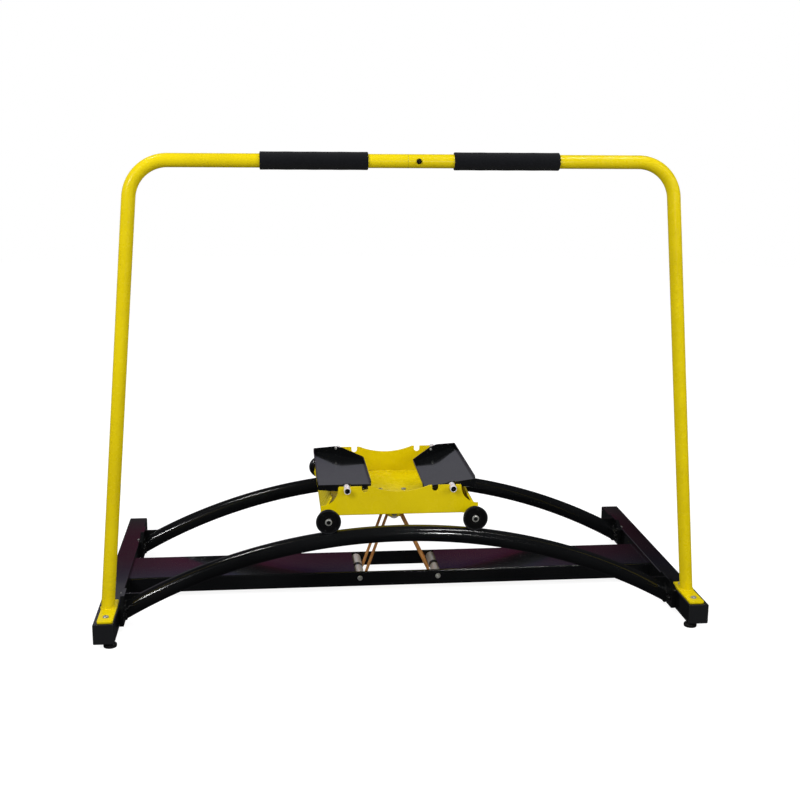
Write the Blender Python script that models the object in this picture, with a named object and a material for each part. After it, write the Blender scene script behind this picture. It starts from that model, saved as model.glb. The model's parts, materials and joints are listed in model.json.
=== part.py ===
import bpy
import bmesh
from math import pi, sin, cos, tan, asin, sqrt, radians, degrees
from mathutils import Vector, Matrix

# Ski ergometer: a carriage with two footplates rolls on two arched rails and is pulled
# back to the middle by elastic bands. X runs along the rails, -Y is the side of the
# handle frame, Z is up. All numbers are metres.

fit_gap = 0.0003
cut_reach = 0.008               # how far a cutter runs past the face that it opens

# Base frame
overall_width = 1.500
bar_size = 0.050
bar_wall = 0.0025
bar_corner = 0.003
bar_length = 0.824
cap_thickness = 0.003
cap_plug = 0.012
cap_bevel = 0.0012
bar_bottom = 0.014
bar_top = bar_bottom + bar_size
bar_x = overall_width / 2 - bar_size / 2
bar_inner_x = overall_width / 2 - bar_size

# Folded base channel, open side down
channel_width = 0.165
channel_height = 0.040
channel_wall = 0.003
channel_bend = 0.004
channel_top = 0.0553
channel_length = 2 * (bar_inner_x - fit_gap)
window_start_x = -0.1065
window_end_x = 0.1220

# Arched rails
rail_radius = 1.4088
rail_top = 0.2164
rail_y = 0.2484
rail_tube = 0.0210
rail_wall = 0.0022
rail_vent = 0.0160
arc_centre_z = rail_top - rail_radius
flange_thickness = 0.010
flange_half = 0.062
flange_bottom = 0.015
flange_shoulder = 0.064
flange_top = 0.082
flange_crest = 0.028
flange_corner = 0.004
rib_half = 0.0025
rib_top = 0.079
rib_end_x = 0.6535
rib_middle = (0.670, 0.0695)
rib_low = 0.058

# Handle frame: two bent halves that meet in the middle of the grip bar
handle_tube = 0.0160
handle_wall = 0.0020
handle_y = -0.312
grip_bar_z = 1.138
handle_corner_x = 0.630
bend_radius = 0.090
plate_x = 0.722
plate_width = 0.037
plate_start_y = -0.405
plate_end_y = -0.263
plate_thickness = 0.005
plate_bolt_y = (-0.3775, -0.2795)
plate_bolt_length = 0.018
grip_inner_x = 0.100
grip_outer_x = 0.348
grip_shift = 0.008
grip_radius = 0.0207
grip_rim = 0.002
splice_half = 0.070
splice_bolt_x = 0.025
splice_bolt = 0.0035

# Levelling feet
foot_x = 0.713
foot_y = 0.389
foot_radius = 0.016
foot_height = 0.0095
foot_nut_radius = 0.0068
foot_nut_top = 0.0135
stud_radius = 0.004
stud_top = 0.034

# Base rollers that turn the elastic bands. The pair sits a little right of the middle.
roller_x = 0.105
roller_shift = 0.0115
roller_z = 0.0377
roller_radius = 0.013
roller_start_y = 0.0105
roller_end_y = 0.0760
roller_bolt = 0.0032
roller_spacer = 0.0124

# Elastic bands
band_radius = 0.004
band_y = 0.040
anchor_x = 0.420
anchor_z = 0.034
anchor_bottom = 0.0200
stop_radius = 0.0068

# Carriage tray
tray_y = 0.202
sheet = 0.003
tray_bottom = 0.2515
tray_top = 0.3270
tray_dip = 0.3120
tray_dip_half = 0.075
sweep_radius = 0.0440
sweep_centre_z = 0.3215
tray_end_x = 0.2013
tray_floor_x = 0.2000
lug_radius = 0.0190
lug_end_lift = 0.014
corner_middle = (0.1830, 0.1890)
corner_half = (0.0220, 0.0110)
end_wall_foot = (0.2006, 0.2600)
end_wall_head = (0.1766, 0.2990)
end_wall_thickness = 0.0035
end_wall_fold = 0.0055

# Wheels
wheel_x = 0.1850
wheel_radius = 0.0315
wheel_groove = 0.0280
wheel_width = 0.026
wheel_inner_radius = 0.0235
tread_start = -0.0040
tread_end = 0.0100
wheel_lift = rail_radius + rail_tube + wheel_groove + fit_gap
wheel_z = arc_centre_z + sqrt(wheel_lift ** 2 - wheel_x ** 2)
wheel_axle = 0.0050
axle_collar = 0.0085
axle_nut = 0.0075
axle_nut_height = 0.0055
axle_nut_clearance = 0.0090
axle_head = 0.0100

# Band pulleys under the carriage
pulley_z = 0.207
pulley_radius = 0.0145
pulley_groove = 0.0100
pulley_wrap = pulley_groove + band_radius + 2 * fit_gap
pulley_start_y = 0.0030
pulley_end_y = 0.0540
pulley_pin = 0.0040
pulley_pin_head = 0.0068
strap_half = 0.046
cheek_half = 0.016
cheek_gap = 0.0010
cheek_reach = 0.0075
shoulder_drop = 0.004
hanger_bolt_x = 0.032
hanger_bolt_y = 0.010

# Footplates
pivot_x = 0.135
pivot_z = 0.319
spare_notch_x = 0.0896
sleeve_radius = 0.0085
sleeve_start_y = 0.1800
sleeve_end_y = 0.2170
sleeve_neck = 0.0072
sleeve_mouth = 0.0067
mouth_depth = 0.0120
rod_radius = 0.004
footplate_half = 0.0685
footplate_taper = 0.006
footplate_shift = -0.006
footplate_top = 0.3285
footplate_sheet = 0.0025
fold_overlap = 0.0005
footplate_near_y = -0.186
heel_inner_y = 0.046
heel_outer_y = 0.150
heel_low = 0.010
heel_peak = 0.026
heel_flat = 0.010
lip_height = 0.009
lip_gap = 0.006
edge_inset = 0.0003
flange_shallow = 0.013
flange_deep = 0.019
tab_radius = 0.0095
rear_tab_y = 0.0725
cutout_half = 0.0098
cutout_end_y = -0.178
left_footplate_tilt = 0.0
right_footplate_tilt = -7.9


# Materials
material_looks = {
    "black_enamel": ((0.006, 0.007, 0.007), 0.0, 0.14),
    "yellow_enamel": ((0.690, 0.560, 0.008), 0.0, 0.22),
    "black_plastic": ((0.012, 0.012, 0.012), 0.0, 0.55),
    "black_foam": ((0.010, 0.010, 0.011), 0.0, 0.90),
    "black_rubber": ((0.014, 0.014, 0.014), 0.0, 0.60),
    "wheel_polyurethane": ((0.016, 0.016, 0.017), 0.0, 0.38),
    "pale_nylon": ((0.510, 0.450, 0.430), 0.0, 0.45),
    "zinc_steel": ((0.560, 0.560, 0.540), 1.0, 0.32),
    "black_steel": ((0.030, 0.030, 0.032), 0.9, 0.38),
    "amber_latex": ((0.500, 0.230, 0.070), 0.0, 0.48),
}


def make_material(piece, kind):
    colour, metal, rough = material_looks[kind]
    material = bpy.data.materials.new(piece + "_" + kind)
    material.use_nodes = True
    shader = material.node_tree.nodes["Principled BSDF"]
    shader.inputs["Base Color"].default_value = (*colour, 1.0)
    shader.inputs["Metallic"].default_value = metal
    shader.inputs["Roughness"].default_value = rough
    material.diffuse_color = (*colour, 1.0)
    return material


def clear_scene():
    for old in list(bpy.data.objects):
        bpy.data.objects.remove(old, do_unlink=True)
    for old in list(bpy.data.meshes):
        bpy.data.meshes.remove(old)
    for old in list(bpy.data.materials):
        bpy.data.materials.remove(old)


def make_object(name, points, faces, kind, smooth_angle=None, origin=(0.0, 0.0, 0.0)):
    start = Vector(origin)
    mesh = bpy.data.meshes.new(name)
    mesh.from_pydata([Vector(p) - start for p in points], [], faces)
    mesh.update()
    part = bpy.data.objects.new(name, mesh)
    part.location = start
    bpy.context.scene.collection.objects.link(part)
    part.data.materials.append(make_material(name, kind))
    face_outwards(part)
    if smooth_angle:
        shade_round(part, smooth_angle)
    return part


def face_outwards(part):
    work = bmesh.new()
    work.from_mesh(part.data)
    bmesh.ops.recalc_face_normals(work, faces=work.faces)
    if work.calc_volume(signed=True) < 0:
        bmesh.ops.reverse_faces(work, faces=work.faces)
    work.to_mesh(part.data)
    work.free()


def shade_round(part, angle):
    mesh = part.data
    for face in mesh.polygons:
        face.use_smooth = True
    work = bmesh.new()
    work.from_mesh(mesh)
    for edge in work.edges:
        if len(edge.link_faces) == 2:
            edge.smooth = edge.calc_face_angle(0.0) < radians(angle)
    work.to_mesh(mesh)
    work.free()


def combine(part, tool, operation):
    # The tool object is used up by the cut or the join.
    step = part.modifiers.new("step", "BOOLEAN")
    step.operation = operation
    step.solver = "EXACT"
    step.object = tool
    graph = bpy.context.evaluated_depsgraph_get()
    result = bpy.data.meshes.new_from_object(part.evaluated_get(graph))
    part.modifiers.clear()
    old = part.data
    part.data = result
    bpy.data.meshes.remove(old)
    bpy.data.objects.remove(tool, do_unlink=True)
    keep = part.data.materials[0]
    part.data.materials.clear()
    part.data.materials.append(keep)
    for face in part.data.polygons:
        face.material_index = 0
    return part


def cut(part, tool):
    return combine(part, tool, "DIFFERENCE")


def join(part, tool):
    return combine(part, tool, "UNION")


# Plain solids

def box(name, low, high, kind):
    x0, y0, z0 = low
    x1, y1, z1 = high
    points = [(x, y, z) for x in (x0, x1) for y in (y0, y1) for z in (z0, z1)]
    faces = [(0, 1, 3, 2), (4, 6, 7, 5), (0, 4, 5, 1), (2, 3, 7, 6), (0, 2, 6, 4), (1, 5, 7, 3)]
    return make_object(name, points, faces, kind)


def prism(name, outline, start, length, axis, kind, smooth_angle=None):
    # Outline points lie in the plane across the axis: (x, z) for Y, (y, z) for X, (x, y) for Z.
    def place(point, along):
        if axis == "Y":
            return (point[0], along, point[1])
        if axis == "X":
            return (along, point[0], point[1])
        return (point[0], point[1], along)
    count = len(outline)
    points = [place(p, start) for p in outline] + [place(p, start + length) for p in outline]
    faces = [tuple(range(count)), tuple(range(2 * count - 1, count - 1, -1))]
    for i in range(count):
        j = (i + 1) % count
        faces.append((i, j, count + j, count + i))
    return make_object(name, points, faces, kind, smooth_angle)


def arc(centre, radius, start_angle, end_angle, steps):
    points = []
    for i in range(steps + 1):
        angle = radians(start_angle + (end_angle - start_angle) * i / steps)
        points.append((centre[0] + radius * cos(angle), centre[1] + radius * sin(angle)))
    return points


def rounded_rectangle(low, high, radius, steps=3):
    x0, y0 = low
    x1, y1 = high
    outline = arc((x1 - radius, y0 + radius), radius, -90, 0, steps)
    outline += arc((x1 - radius, y1 - radius), radius, 0, 90, steps)
    outline += arc((x0 + radius, y1 - radius), radius, 90, 180, steps)
    outline += arc((x0 + radius, y0 + radius), radius, 180, 270, steps)
    return outline


def rings_to_mesh(rings, closed_loop):
    count = len(rings[0])
    points = [p for ring in rings for p in ring]
    faces = []
    pairs = len(rings) if closed_loop else len(rings) - 1
    for r in range(pairs):
        a = r * count
        b = ((r + 1) % len(rings)) * count
        for i in range(count):
            j = (i + 1) % count
            faces.append((a + i, a + j, b + j, b + i))
    if not closed_loop:
        faces.append(tuple(range(count - 1, -1, -1)))
        last = (len(rings) - 1) * count
        faces.append(tuple(range(last, last + count)))
    return points, faces


def lathe(name, profile, centre, axis, kind, segments=24, closed_loop=False, smooth_angle=35):
    # Profile points are (distance along the axis, radius) from the centre point.
    rings = []
    for along, radius in profile:
        ring = []
        for i in range(segments):
            angle = 2 * pi * (i + 0.5) / segments
            a = radius * cos(angle)
            b = radius * sin(angle)
            if axis == "Y":
                ring.append((centre[0] + a, centre[1] + along, centre[2] + b))
            elif axis == "X":
                ring.append((centre[0] + along, centre[1] + a, centre[2] + b))
            else:
                ring.append((centre[0] + a, centre[1] + b, centre[2] + along))
        rings.append(ring)
    points, faces = rings_to_mesh(rings, closed_loop)
    return make_object(name, points, faces, kind, smooth_angle, origin=centre)


def ring_at(centre, forward, side, radius, segments):
    up = forward.cross(side).normalized()
    ring = []
    for i in range(segments):
        angle = 2 * pi * (i + 0.5) / segments
        ring.append(centre + side * (radius * cos(angle)) + up * (radius * sin(angle)))
    return ring


def frames_along(path):
    # Tangents of a path that stays in a plane across Y.
    side = Vector((0.0, 1.0, 0.0))
    frames = []
    for i, point in enumerate(path):
        before = path[max(i - 1, 0)]
        after = path[min(i + 1, len(path) - 1)]
        frames.append((point, (after - before).normalized(), side))
    return frames


def corner_path(start, corner, end, radius, steps):
    into = (corner - start).normalized()
    out = (end - corner).normalized()
    turn = into.angle(out)
    trim = radius * tan(turn / 2)
    first = corner - into * trim
    inward = (out - into * into.dot(out)).normalized()
    centre = first + inward * radius
    path = [start]
    for i in range(steps + 1):
        angle = turn * i / steps
        path.append(centre - inward * (radius * cos(angle)) + into * (radius * sin(angle)))
    path.append(end)
    return path


# Screws, nuts and studs

def dome_bolt(name, centre, axis, direction, shank, head, head_height, length, kind, nut=0.0):
    # The head sits on the outside of the centre point, the shank runs the other way.
    s = direction
    profile = [(s * (head_height - 0.0022), head * 0.36), (s * head_height, head * 0.40)]
    profile += [(s * head_height, head * 0.62), (s * head_height * 0.35, head), (0.0, head), (0.0, shank)]
    if nut:
        profile += [(-s * (length - 0.006), shank), (-s * (length - 0.006), nut)]
        profile += [(-s * (length - 0.0005), nut)]
    profile += [(-s * length, shank)]
    return lathe(name, profile, centre, axis, kind, segments=8)


def cylinder_tool(centre, axis, radius, low, high, segments=10):
    return lathe("hole_cutter", [(low, radius), (high, radius)], centre, axis, "black_steel", segments)


# Base frame

def build_crossbar(side, sign):
    tube_half = bar_length / 2 - cap_thickness - fit_gap
    x = sign * bar_x
    outline = rounded_rectangle((x - bar_size / 2, bar_bottom), (x + bar_size / 2, bar_top), bar_corner)
    bar = prism(side + "_crossbar", outline, -tube_half, 2 * tube_half, "Y", "black_enamel", 40)
    hollow = box("hollow", (x - bar_size / 2 + bar_wall, -tube_half - cut_reach, bar_bottom + bar_wall),
                 (x + bar_size / 2 - bar_wall, tube_half + cut_reach, bar_top - bar_wall), "black_enamel")
    cut(bar, hollow)
    hole = stud_radius + fit_gap
    for y in (-foot_y, foot_y):
        cut(bar, cylinder_tool((sign * foot_x, y, bar_bottom), "Z", hole, -cut_reach, cut_reach))
    for y in plate_bolt_y:
        cut(bar, cylinder_tool((sign * plate_x, y, bar_top), "Z", hole, -cut_reach, cut_reach))
    face_outwards(bar)
    shade_round(bar, 40)
    return bar


def build_end_cap(side, sign, end, facing):
    x = sign * bar_x
    face_y = facing * (bar_length / 2)
    back_y = facing * (bar_length / 2 - cap_thickness)
    plug_y = facing * (bar_length / 2 - cap_thickness - cap_plug)
    half = bar_size / 2
    plug = half - bar_wall - fit_gap
    z = bar_bottom + half
    name = side + "_" + end + "_end_cap"
    def square(half_size, radius):
        return rounded_rectangle((x - half_size, z - half_size), (x + half_size, z + half_size), radius, 1)
    rings = []
    rim_y = face_y - facing * cap_bevel
    for half_size, radius, y in ((half - cap_bevel, 0.0028, face_y), (half, bar_corner, rim_y),
                                 (half, bar_corner, back_y), (plug, 0.0020, back_y), (plug, 0.0020, plug_y)):
        rings.append([(p[0], y, p[1]) for p in square(half_size, radius)])
    points, faces = rings_to_mesh(rings, False)
    return make_object(name, points, faces, "black_plastic", 35)


def build_foot(side, sign, end, facing):
    profile = [(0.0, foot_radius - 0.001), (0.001, foot_radius), (foot_height - 0.0015, foot_radius)]
    profile += [(foot_height, foot_radius - 0.002), (foot_height, foot_nut_radius)]
    profile += [(foot_nut_top, foot_nut_radius), (foot_nut_top, stud_radius), (stud_top, stud_radius)]
    centre = (sign * foot_x, facing * foot_y, 0.0)
    return lathe(side + "_" + end + "_levelling_foot", profile, centre, "Z", "black_rubber", 12)


def build_channel():
    half = channel_width / 2
    low = channel_top - channel_height
    r = channel_bend
    t = channel_wall
    bend_inside = r - t
    outline = [(-half, low)]
    outline += [(-half, channel_top - r)] + arc((-half + r, channel_top - r), r, 180, 90, 3)[1:]
    outline += arc((half - r, channel_top - r), r, 90, 0, 3)
    outline += [(half, low), (half - t, low)]
    outline += arc((half - r, channel_top - r), bend_inside, 0, 90, 1)
    outline += arc((-half + r, channel_top - r), bend_inside, 90, 180, 1)
    outline += [(-half + t, low)]
    channel = prism("base_channel", outline, -channel_length / 2, channel_length, "X", "black_enamel", 40)
    window_y = half - t - 0.0005
    opening = box("window", (window_start_x, -window_y, channel_top - cut_reach),
                  (window_end_x, window_y, channel_top + cut_reach), "black_enamel")
    cut(channel, opening)
    for sign in (-1, 1):
        centre = (sign * roller_x + roller_shift, 0.0, roller_z)
        cut(channel, cylinder_tool(centre, "Y", roller_bolt + fit_gap, -half - cut_reach, half + cut_reach))
    face_outwards(channel)
    shade_round(channel, 40)
    return channel


def build_roller(side, sign, end, facing):
    middle = facing * (roller_start_y + roller_end_y) / 2
    half = (roller_end_y - roller_start_y) / 2
    bore = roller_bolt + fit_gap
    profile = [(-half, bore), (-half, roller_radius - 0.001), (-half + 0.001, roller_radius)]
    profile += [(half - 0.001, roller_radius), (half, roller_radius - 0.001), (half, bore)]
    centre = (sign * roller_x + roller_shift, middle, roller_z)
    name = side + "_" + end + "_base_roller"
    return lathe(name, profile, centre, "Y", "pale_nylon", 18, closed_loop=True)


def build_roller_fixings(side, sign):
    half = channel_width / 2 + fit_gap
    centre = (sign * roller_x + roller_shift, -half, roller_z)
    length = 2 * half + 0.0065
    name = side + "_roller_bolt"
    dome_bolt(name, centre, "Y", -1, roller_bolt, 0.0070, 0.0052, length, "zinc_steel", nut=0.0062)
    bore = roller_bolt + fit_gap
    reach = roller_start_y - fit_gap
    ring = [(-reach, bore), (-reach, roller_spacer), (reach, roller_spacer), (reach, bore)]
    middle = (sign * roller_x + roller_shift, 0.0, roller_z)
    lathe(side + "_roller_spacer", ring, middle, "Y", "black_plastic", 14, closed_loop=True)


def build_band_anchor(side, sign):
    half = channel_width / 2 - channel_wall - fit_gap
    top = channel_top - channel_wall - fit_gap
    start = sign * anchor_x - sheet / 2
    outline = rounded_rectangle((-half + 0.001, anchor_bottom), (half - 0.001, top), 0.003, 2)
    plate = prism(side + "_band_anchor", outline, start, sheet, "X", "black_enamel")
    for y in (-band_y, band_y):
        centre = (sign * anchor_x, y, anchor_z)
        cut(plate, cylinder_tool(centre, "X", band_radius + 0.0005, -cut_reach, cut_reach, 12))
    face_outwards(plate)
    return plate


# Arched rails, welded to a flange at each end

def rail_rings(y, radius):
    # Rings round the arc, the first and last cut square to X inside the flanges.
    segments = 14
    steps = 18
    reach = bar_inner_x - fit_gap - flange_thickness / 2
    widest = asin(reach / rail_radius)
    side = Vector((0.0, 1.0, 0.0))
    rings = []
    for i in range(steps + 1):
        angle = -widest + 2 * widest * i / steps
        centre = Vector((rail_radius * sin(angle), y, arc_centre_z + rail_radius * cos(angle)))
        forward = Vector((cos(angle), 0.0, -sin(angle)))
        ring = ring_at(centre, forward, side, radius, segments)
        if i in (0, steps):
            limit = -reach if i == 0 else reach
            ring = [p + forward * ((limit - p.x) / forward.x) for p in ring]
        rings.append(ring)
    return rings


def build_rail(end, facing):
    y = facing * rail_y
    rings = rail_rings(y, rail_tube) + rail_rings(y, rail_tube - rail_wall)[::-1]
    points, faces = rings_to_mesh(rings, True)
    rail = make_object(end + "_rail", points, faces, "black_enamel")
    flange_x = bar_inner_x - fit_gap - flange_thickness / 2
    rail_end_z = arc_centre_z + sqrt(rail_radius ** 2 - flange_x ** 2)
    # The plate's upper edge rises to a crest over the tube.
    corner_z = flange_bottom + flange_corner
    half = [(flange_half - flange_corner, flange_bottom), (flange_half, corner_z)]
    half += [(flange_half, flange_shoulder), (flange_crest, flange_top)]
    outline = [(y + p[0], p[1]) for p in half] + [(y - p[0], p[1]) for p in half[::-1]]
    for sign in (-1, 1):
        start = sign * flange_x - flange_thickness / 2
        join(rail, prism("flange", outline, start, flange_thickness, "X", "black_enamel"))
        # A rib fills the corner between the flange and the top of the tube.
        rib = [(flange_x, rib_low), (flange_x, rib_top), (rib_end_x, rib_top), rib_middle]
        rib = [(sign * p[0], p[1]) for p in rib]
        join(rail, prism("rib", rib, y - rib_half, 2 * rib_half, "Y", "black_enamel"))
        # The tube's bore stays open through the flange.
        centre = (sign * flange_x, y, rail_end_z)
        cut(rail, cylinder_tool(centre, "X", rail_vent, -flange_thickness, flange_thickness, 12))
    face_outwards(rail)
    shade_round(rail, 40)
    return rail


# Handle frame

def build_handle_half(side, sign):
    base_z = bar_top + fit_gap
    start = Vector((sign * bar_x, handle_y, base_z + plate_thickness * 0.6))
    corner = Vector((sign * handle_corner_x, handle_y, grip_bar_z))
    end = Vector((sign * fit_gap, handle_y, grip_bar_z))
    path = corner_path(start, corner, end, bend_radius, 7)
    bore_path = [start + (corner - start).normalized() * 0.012] + path[1:]
    segments = 14
    bore = handle_tube - handle_wall
    rings = [ring_at(c, f, s, handle_tube, segments) for c, f, s in frames_along(path)]
    inner = [ring_at(c, f, s, bore, segments) for c, f, s in frames_along(bore_path)]
    rings += inner[::-1]
    points, faces = rings_to_mesh(rings, False)
    half = make_object(side + "_handle_half", points, faces, "yellow_enamel")
    x = sign * plate_x
    half_width = plate_width / 2
    outline = rounded_rectangle((x - half_width, plate_start_y), (x + half_width, plate_end_y), 0.004)
    join(half, prism("foot_plate", outline, base_z, plate_thickness, "Z", "yellow_enamel"))
    for y in plate_bolt_y:
        cut(half, cylinder_tool((x, y, base_z), "Z", stud_radius + fit_gap, -cut_reach, 2 * cut_reach))
    if sign > 0:
        centre = (splice_bolt_x, handle_y, grip_bar_z)
        cut(half, cylinder_tool(centre, "Y", splice_bolt + fit_gap, -2 * handle_tube, 2 * handle_tube))
    face_outwards(half)
    shade_round(half, 40)
    return half


def build_handle_fixings(side, sign):
    top = bar_top + fit_gap + plate_thickness + fit_gap
    for y, place in zip(plate_bolt_y, ("front", "rear")):
        centre = (sign * plate_x, y, top)
        name = side + "_" + place + "_plate_bolt"
        dome_bolt(name, centre, "Z", 1, stud_radius, 0.0075, 0.0055, plate_bolt_length, "zinc_steel")


def build_splice():
    radius = handle_tube - handle_wall - fit_gap
    bore = radius - handle_wall
    profile = [(-splice_half, bore), (-splice_half, radius), (splice_half, radius), (splice_half, bore)]
    middle = (0.0, handle_y, grip_bar_z)
    sleeve = lathe("handle_splice_sleeve", profile, middle, "X", "zinc_steel", 14, closed_loop=True)
    hole = (splice_bolt_x, handle_y, grip_bar_z)
    cut(sleeve, cylinder_tool(hole, "Y", splice_bolt + fit_gap, -2 * handle_tube, 2 * handle_tube))
    face_outwards(sleeve)
    shade_round(sleeve, 40)
    centre = (splice_bolt_x, handle_y - handle_tube - fit_gap, grip_bar_z)
    name = "handle_splice_bolt"
    length = 2 * handle_tube + 0.007
    dome_bolt(name, centre, "Y", -1, splice_bolt, 0.0065, 0.0050, length, "black_steel", nut=0.0060)


def build_grip(side, sign):
    middle = sign * (grip_inner_x + grip_outer_x) / 2 + grip_shift
    half = (grip_outer_x - grip_inner_x) / 2
    bore = handle_tube + 2 * fit_gap
    profile = [(-half, bore), (-half, grip_radius - grip_rim), (-half + grip_rim, grip_radius)]
    profile += [(half - grip_rim, grip_radius), (half, grip_radius - grip_rim), (half, bore)]
    centre = (middle, handle_y, grip_bar_z)
    return lathe(side + "_foam_grip", profile, centre, "X", "black_foam", 16, closed_loop=True)


# Carriage

def side_plate_outline():
    # Right half from the middle of the bottom edge round to the middle of the top edge.
    meeting = degrees(asin((wheel_z - tray_bottom) / lug_radius))
    half = [(0.0, tray_bottom)]
    half += arc((wheel_x, wheel_z), lug_radius, 180 + meeting, 380, 6)
    half += [(tray_end_x, wheel_z + lug_end_lift), (tray_end_x, sweep_centre_z - sweep_radius)]
    half += arc((tray_end_x, sweep_centre_z), sweep_radius, 270, 180, 6)[1:]
    horn = 0.004
    half += arc((tray_end_x - sweep_radius - horn, tray_top - horn), horn, 0, 90, 2)
    reach = sleeve_neck + 2 * fit_gap
    for notch_x in (pivot_x, spare_notch_x):
        half += [(notch_x + reach, tray_top)]
        half += arc((notch_x, pivot_z), reach, 0, -180, 5)
        half += [(notch_x - reach, tray_top)]
    drop = tray_top - tray_dip
    dip_radius = (tray_dip_half ** 2 + drop ** 2) / (2 * drop)
    widest = asin(tray_dip_half / dip_radius)
    for i in range(6):
        angle = widest * (1 - i / 5)
        half += [(dip_radius * sin(angle), tray_dip + dip_radius * (1 - cos(angle)))]
    left = [(-p[0], p[1]) for p in half[1:-1]]
    return half + left[::-1]


def build_tray():
    inner_y = tray_y - sheet
    joined_y = inner_y + 0.001
    tray = box("carriage_tray", (-tray_floor_x, -joined_y, tray_bottom),
               (tray_floor_x, joined_y, tray_bottom + sheet), "yellow_enamel")
    # The corners stay open for the wheel axles' nuts.
    for sign in (-1, 1):
        for facing in (-1, 1):
            x = sign * corner_middle[0]
            y = facing * corner_middle[1]
            low = (x - corner_half[0], y - corner_half[1], tray_bottom - cut_reach)
            high = (x + corner_half[0], y + corner_half[1], tray_bottom + cut_reach)
            cut(tray, box("corner", low, high, "yellow_enamel"))
    for sign in (-1, 1):
        wall_x, bend_z = end_wall_foot
        head_x, head_z = end_wall_head
        foot_z = tray_bottom + edge_inset
        wall = [(sign * wall_x, foot_z), (sign * wall_x, bend_z), (sign * head_x, head_z)]
        wall += [(sign * (head_x - end_wall_thickness), head_z - 0.0005)]
        wall += [(sign * (wall_x - end_wall_fold), foot_z)]
        join(tray, prism("end_wall", wall, -joined_y, 2 * joined_y, "Y", "yellow_enamel"))
    for sign in (-1, 1):
        for facing in (-1, 1):
            centre = (sign * wheel_x, facing * inner_y, wheel_z)
            cut(tray, cylinder_tool(centre, "Y", axle_nut_clearance, -0.012, 0.012, 8))
    for facing in (-1, 1):
        start = -tray_y if facing < 0 else inner_y
        plate = prism("side_plate", side_plate_outline(), start, sheet, "Y", "yellow_enamel")
        for sign in (-1, 1):
            centre = (sign * wheel_x, facing * tray_y, wheel_z)
            cut(plate, cylinder_tool(centre, "Y", wheel_axle + fit_gap, -cut_reach, cut_reach, 12))
        join(tray, plate)
    for sign in (-1, 1):
        centre = (sign * hanger_bolt_x, hanger_bolt_y, tray_bottom)
        cut(tray, cylinder_tool(centre, "Z", stud_radius + fit_gap, -cut_reach, cut_reach))
    face_outwards(tray)
    return tray


def build_hanger():
    # Bent strap under the tray: a top flange and two cheeks that carry the pulley pin.
    top = tray_bottom - fit_gap
    cheek_y = pulley_end_y + cheek_gap
    low = pulley_z - cheek_reach
    outline = [(-cheek_y - sheet, low), (-cheek_y - sheet, top), (cheek_y + sheet, top)]
    outline += [(cheek_y + sheet, low), (cheek_y, low), (cheek_y, top - sheet)]
    outline += [(-cheek_y, top - sheet), (-cheek_y, low)]
    hanger = prism("band_hanger", outline, -strap_half, 2 * strap_half, "X", "yellow_enamel")
    # Outside the cheeks only the flange is left.
    past_y = cheek_y + sheet + cut_reach
    for sign in (-1, 1):
        near_x, far_x = sorted((sign * cheek_half, sign * (strap_half + cut_reach)))
        shoulder_low = (near_x, -past_y, low - cut_reach)
        shoulder_high = (far_x, past_y, top - sheet - shoulder_drop)
        cut(hanger, box("shoulder", shoulder_low, shoulder_high, "yellow_enamel"))
    for sign in (-1, 1):
        centre = (sign * hanger_bolt_x, hanger_bolt_y, top)
        cut(hanger, cylinder_tool(centre, "Z", stud_radius + fit_gap, -cut_reach, cut_reach))
    cut(hanger, cylinder_tool((0.0, 0.0, pulley_z), "Y", pulley_pin + fit_gap, -past_y, past_y))
    face_outwards(hanger)
    return hanger


def build_hanger_fixings():
    for sign, side in ((-1, "left"), (1, "right")):
        centre = (sign * hanger_bolt_x, hanger_bolt_y, tray_bottom + sheet + fit_gap)
        reach = sheet * 2 + 0.0080
        dome_bolt(side + "_hanger_bolt", centre, "Z", 1, stud_radius, 0.0068, 0.0050, reach, "zinc_steel")
    half = pulley_end_y + cheek_gap + sheet + fit_gap
    profile = [(-half - 0.003, 0.0060), (-half, pulley_pin_head), (-half, pulley_pin), (half, pulley_pin)]
    profile += [(half, pulley_pin_head), (half + 0.003, 0.0060)]
    lathe("band_pulley_pin", profile, (0.0, 0.0, pulley_z), "Y", "zinc_steel", 12)


def build_pulley(end, facing):
    low = pulley_start_y - band_y
    high = pulley_end_y - band_y
    bore = pulley_pin + fit_gap
    groove = band_radius + 0.0010
    profile = [(low, bore), (low, pulley_radius - 0.001), (low + 0.001, pulley_radius)]
    profile += [(-groove - 0.0005, pulley_radius)]
    for i in range(5):
        angle = pi * i / 4
        profile.append((-groove * cos(angle), pulley_groove + groove * (1 - sin(angle))))
    profile += [(groove + 0.0005, pulley_radius)]
    profile += [(high - 0.001, pulley_radius), (high, pulley_radius - 0.001), (high, bore)]
    profile = [(facing * along, radius) for along, radius in profile]
    centre = (0.0, facing * band_y, pulley_z)
    return lathe(end + "_band_pulley", profile, centre, "Y", "pale_nylon", 14, closed_loop=True)


def build_wheel(end, facing, side, sign):
    # The tread is hollowed to sit on the round rail and has a flange on its outer side only.
    half = wheel_width / 2
    bore = wheel_axle + fit_gap
    hollow = rail_tube + fit_gap
    profile = [(-half, bore), (-half, wheel_inner_radius), (tread_start - 0.002, wheel_inner_radius + 0.0015)]
    for i in range(5):
        along = tread_start + (tread_end - tread_start) * i / 4
        profile.append((along, wheel_groove + hollow - sqrt(hollow ** 2 - along ** 2)))
    profile += [(tread_end + 0.001, wheel_radius), (half - 0.001, wheel_radius)]
    profile += [(half, wheel_radius - 0.001), (half, bore)]
    profile = [(facing * along, radius) for along, radius in profile]
    centre = (sign * wheel_x, facing * rail_y, wheel_z)
    name = end + "_" + side + "_wheel"
    return lathe(name, profile, centre, "Y", "wheel_polyurethane", 18, closed_loop=True)


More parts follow.
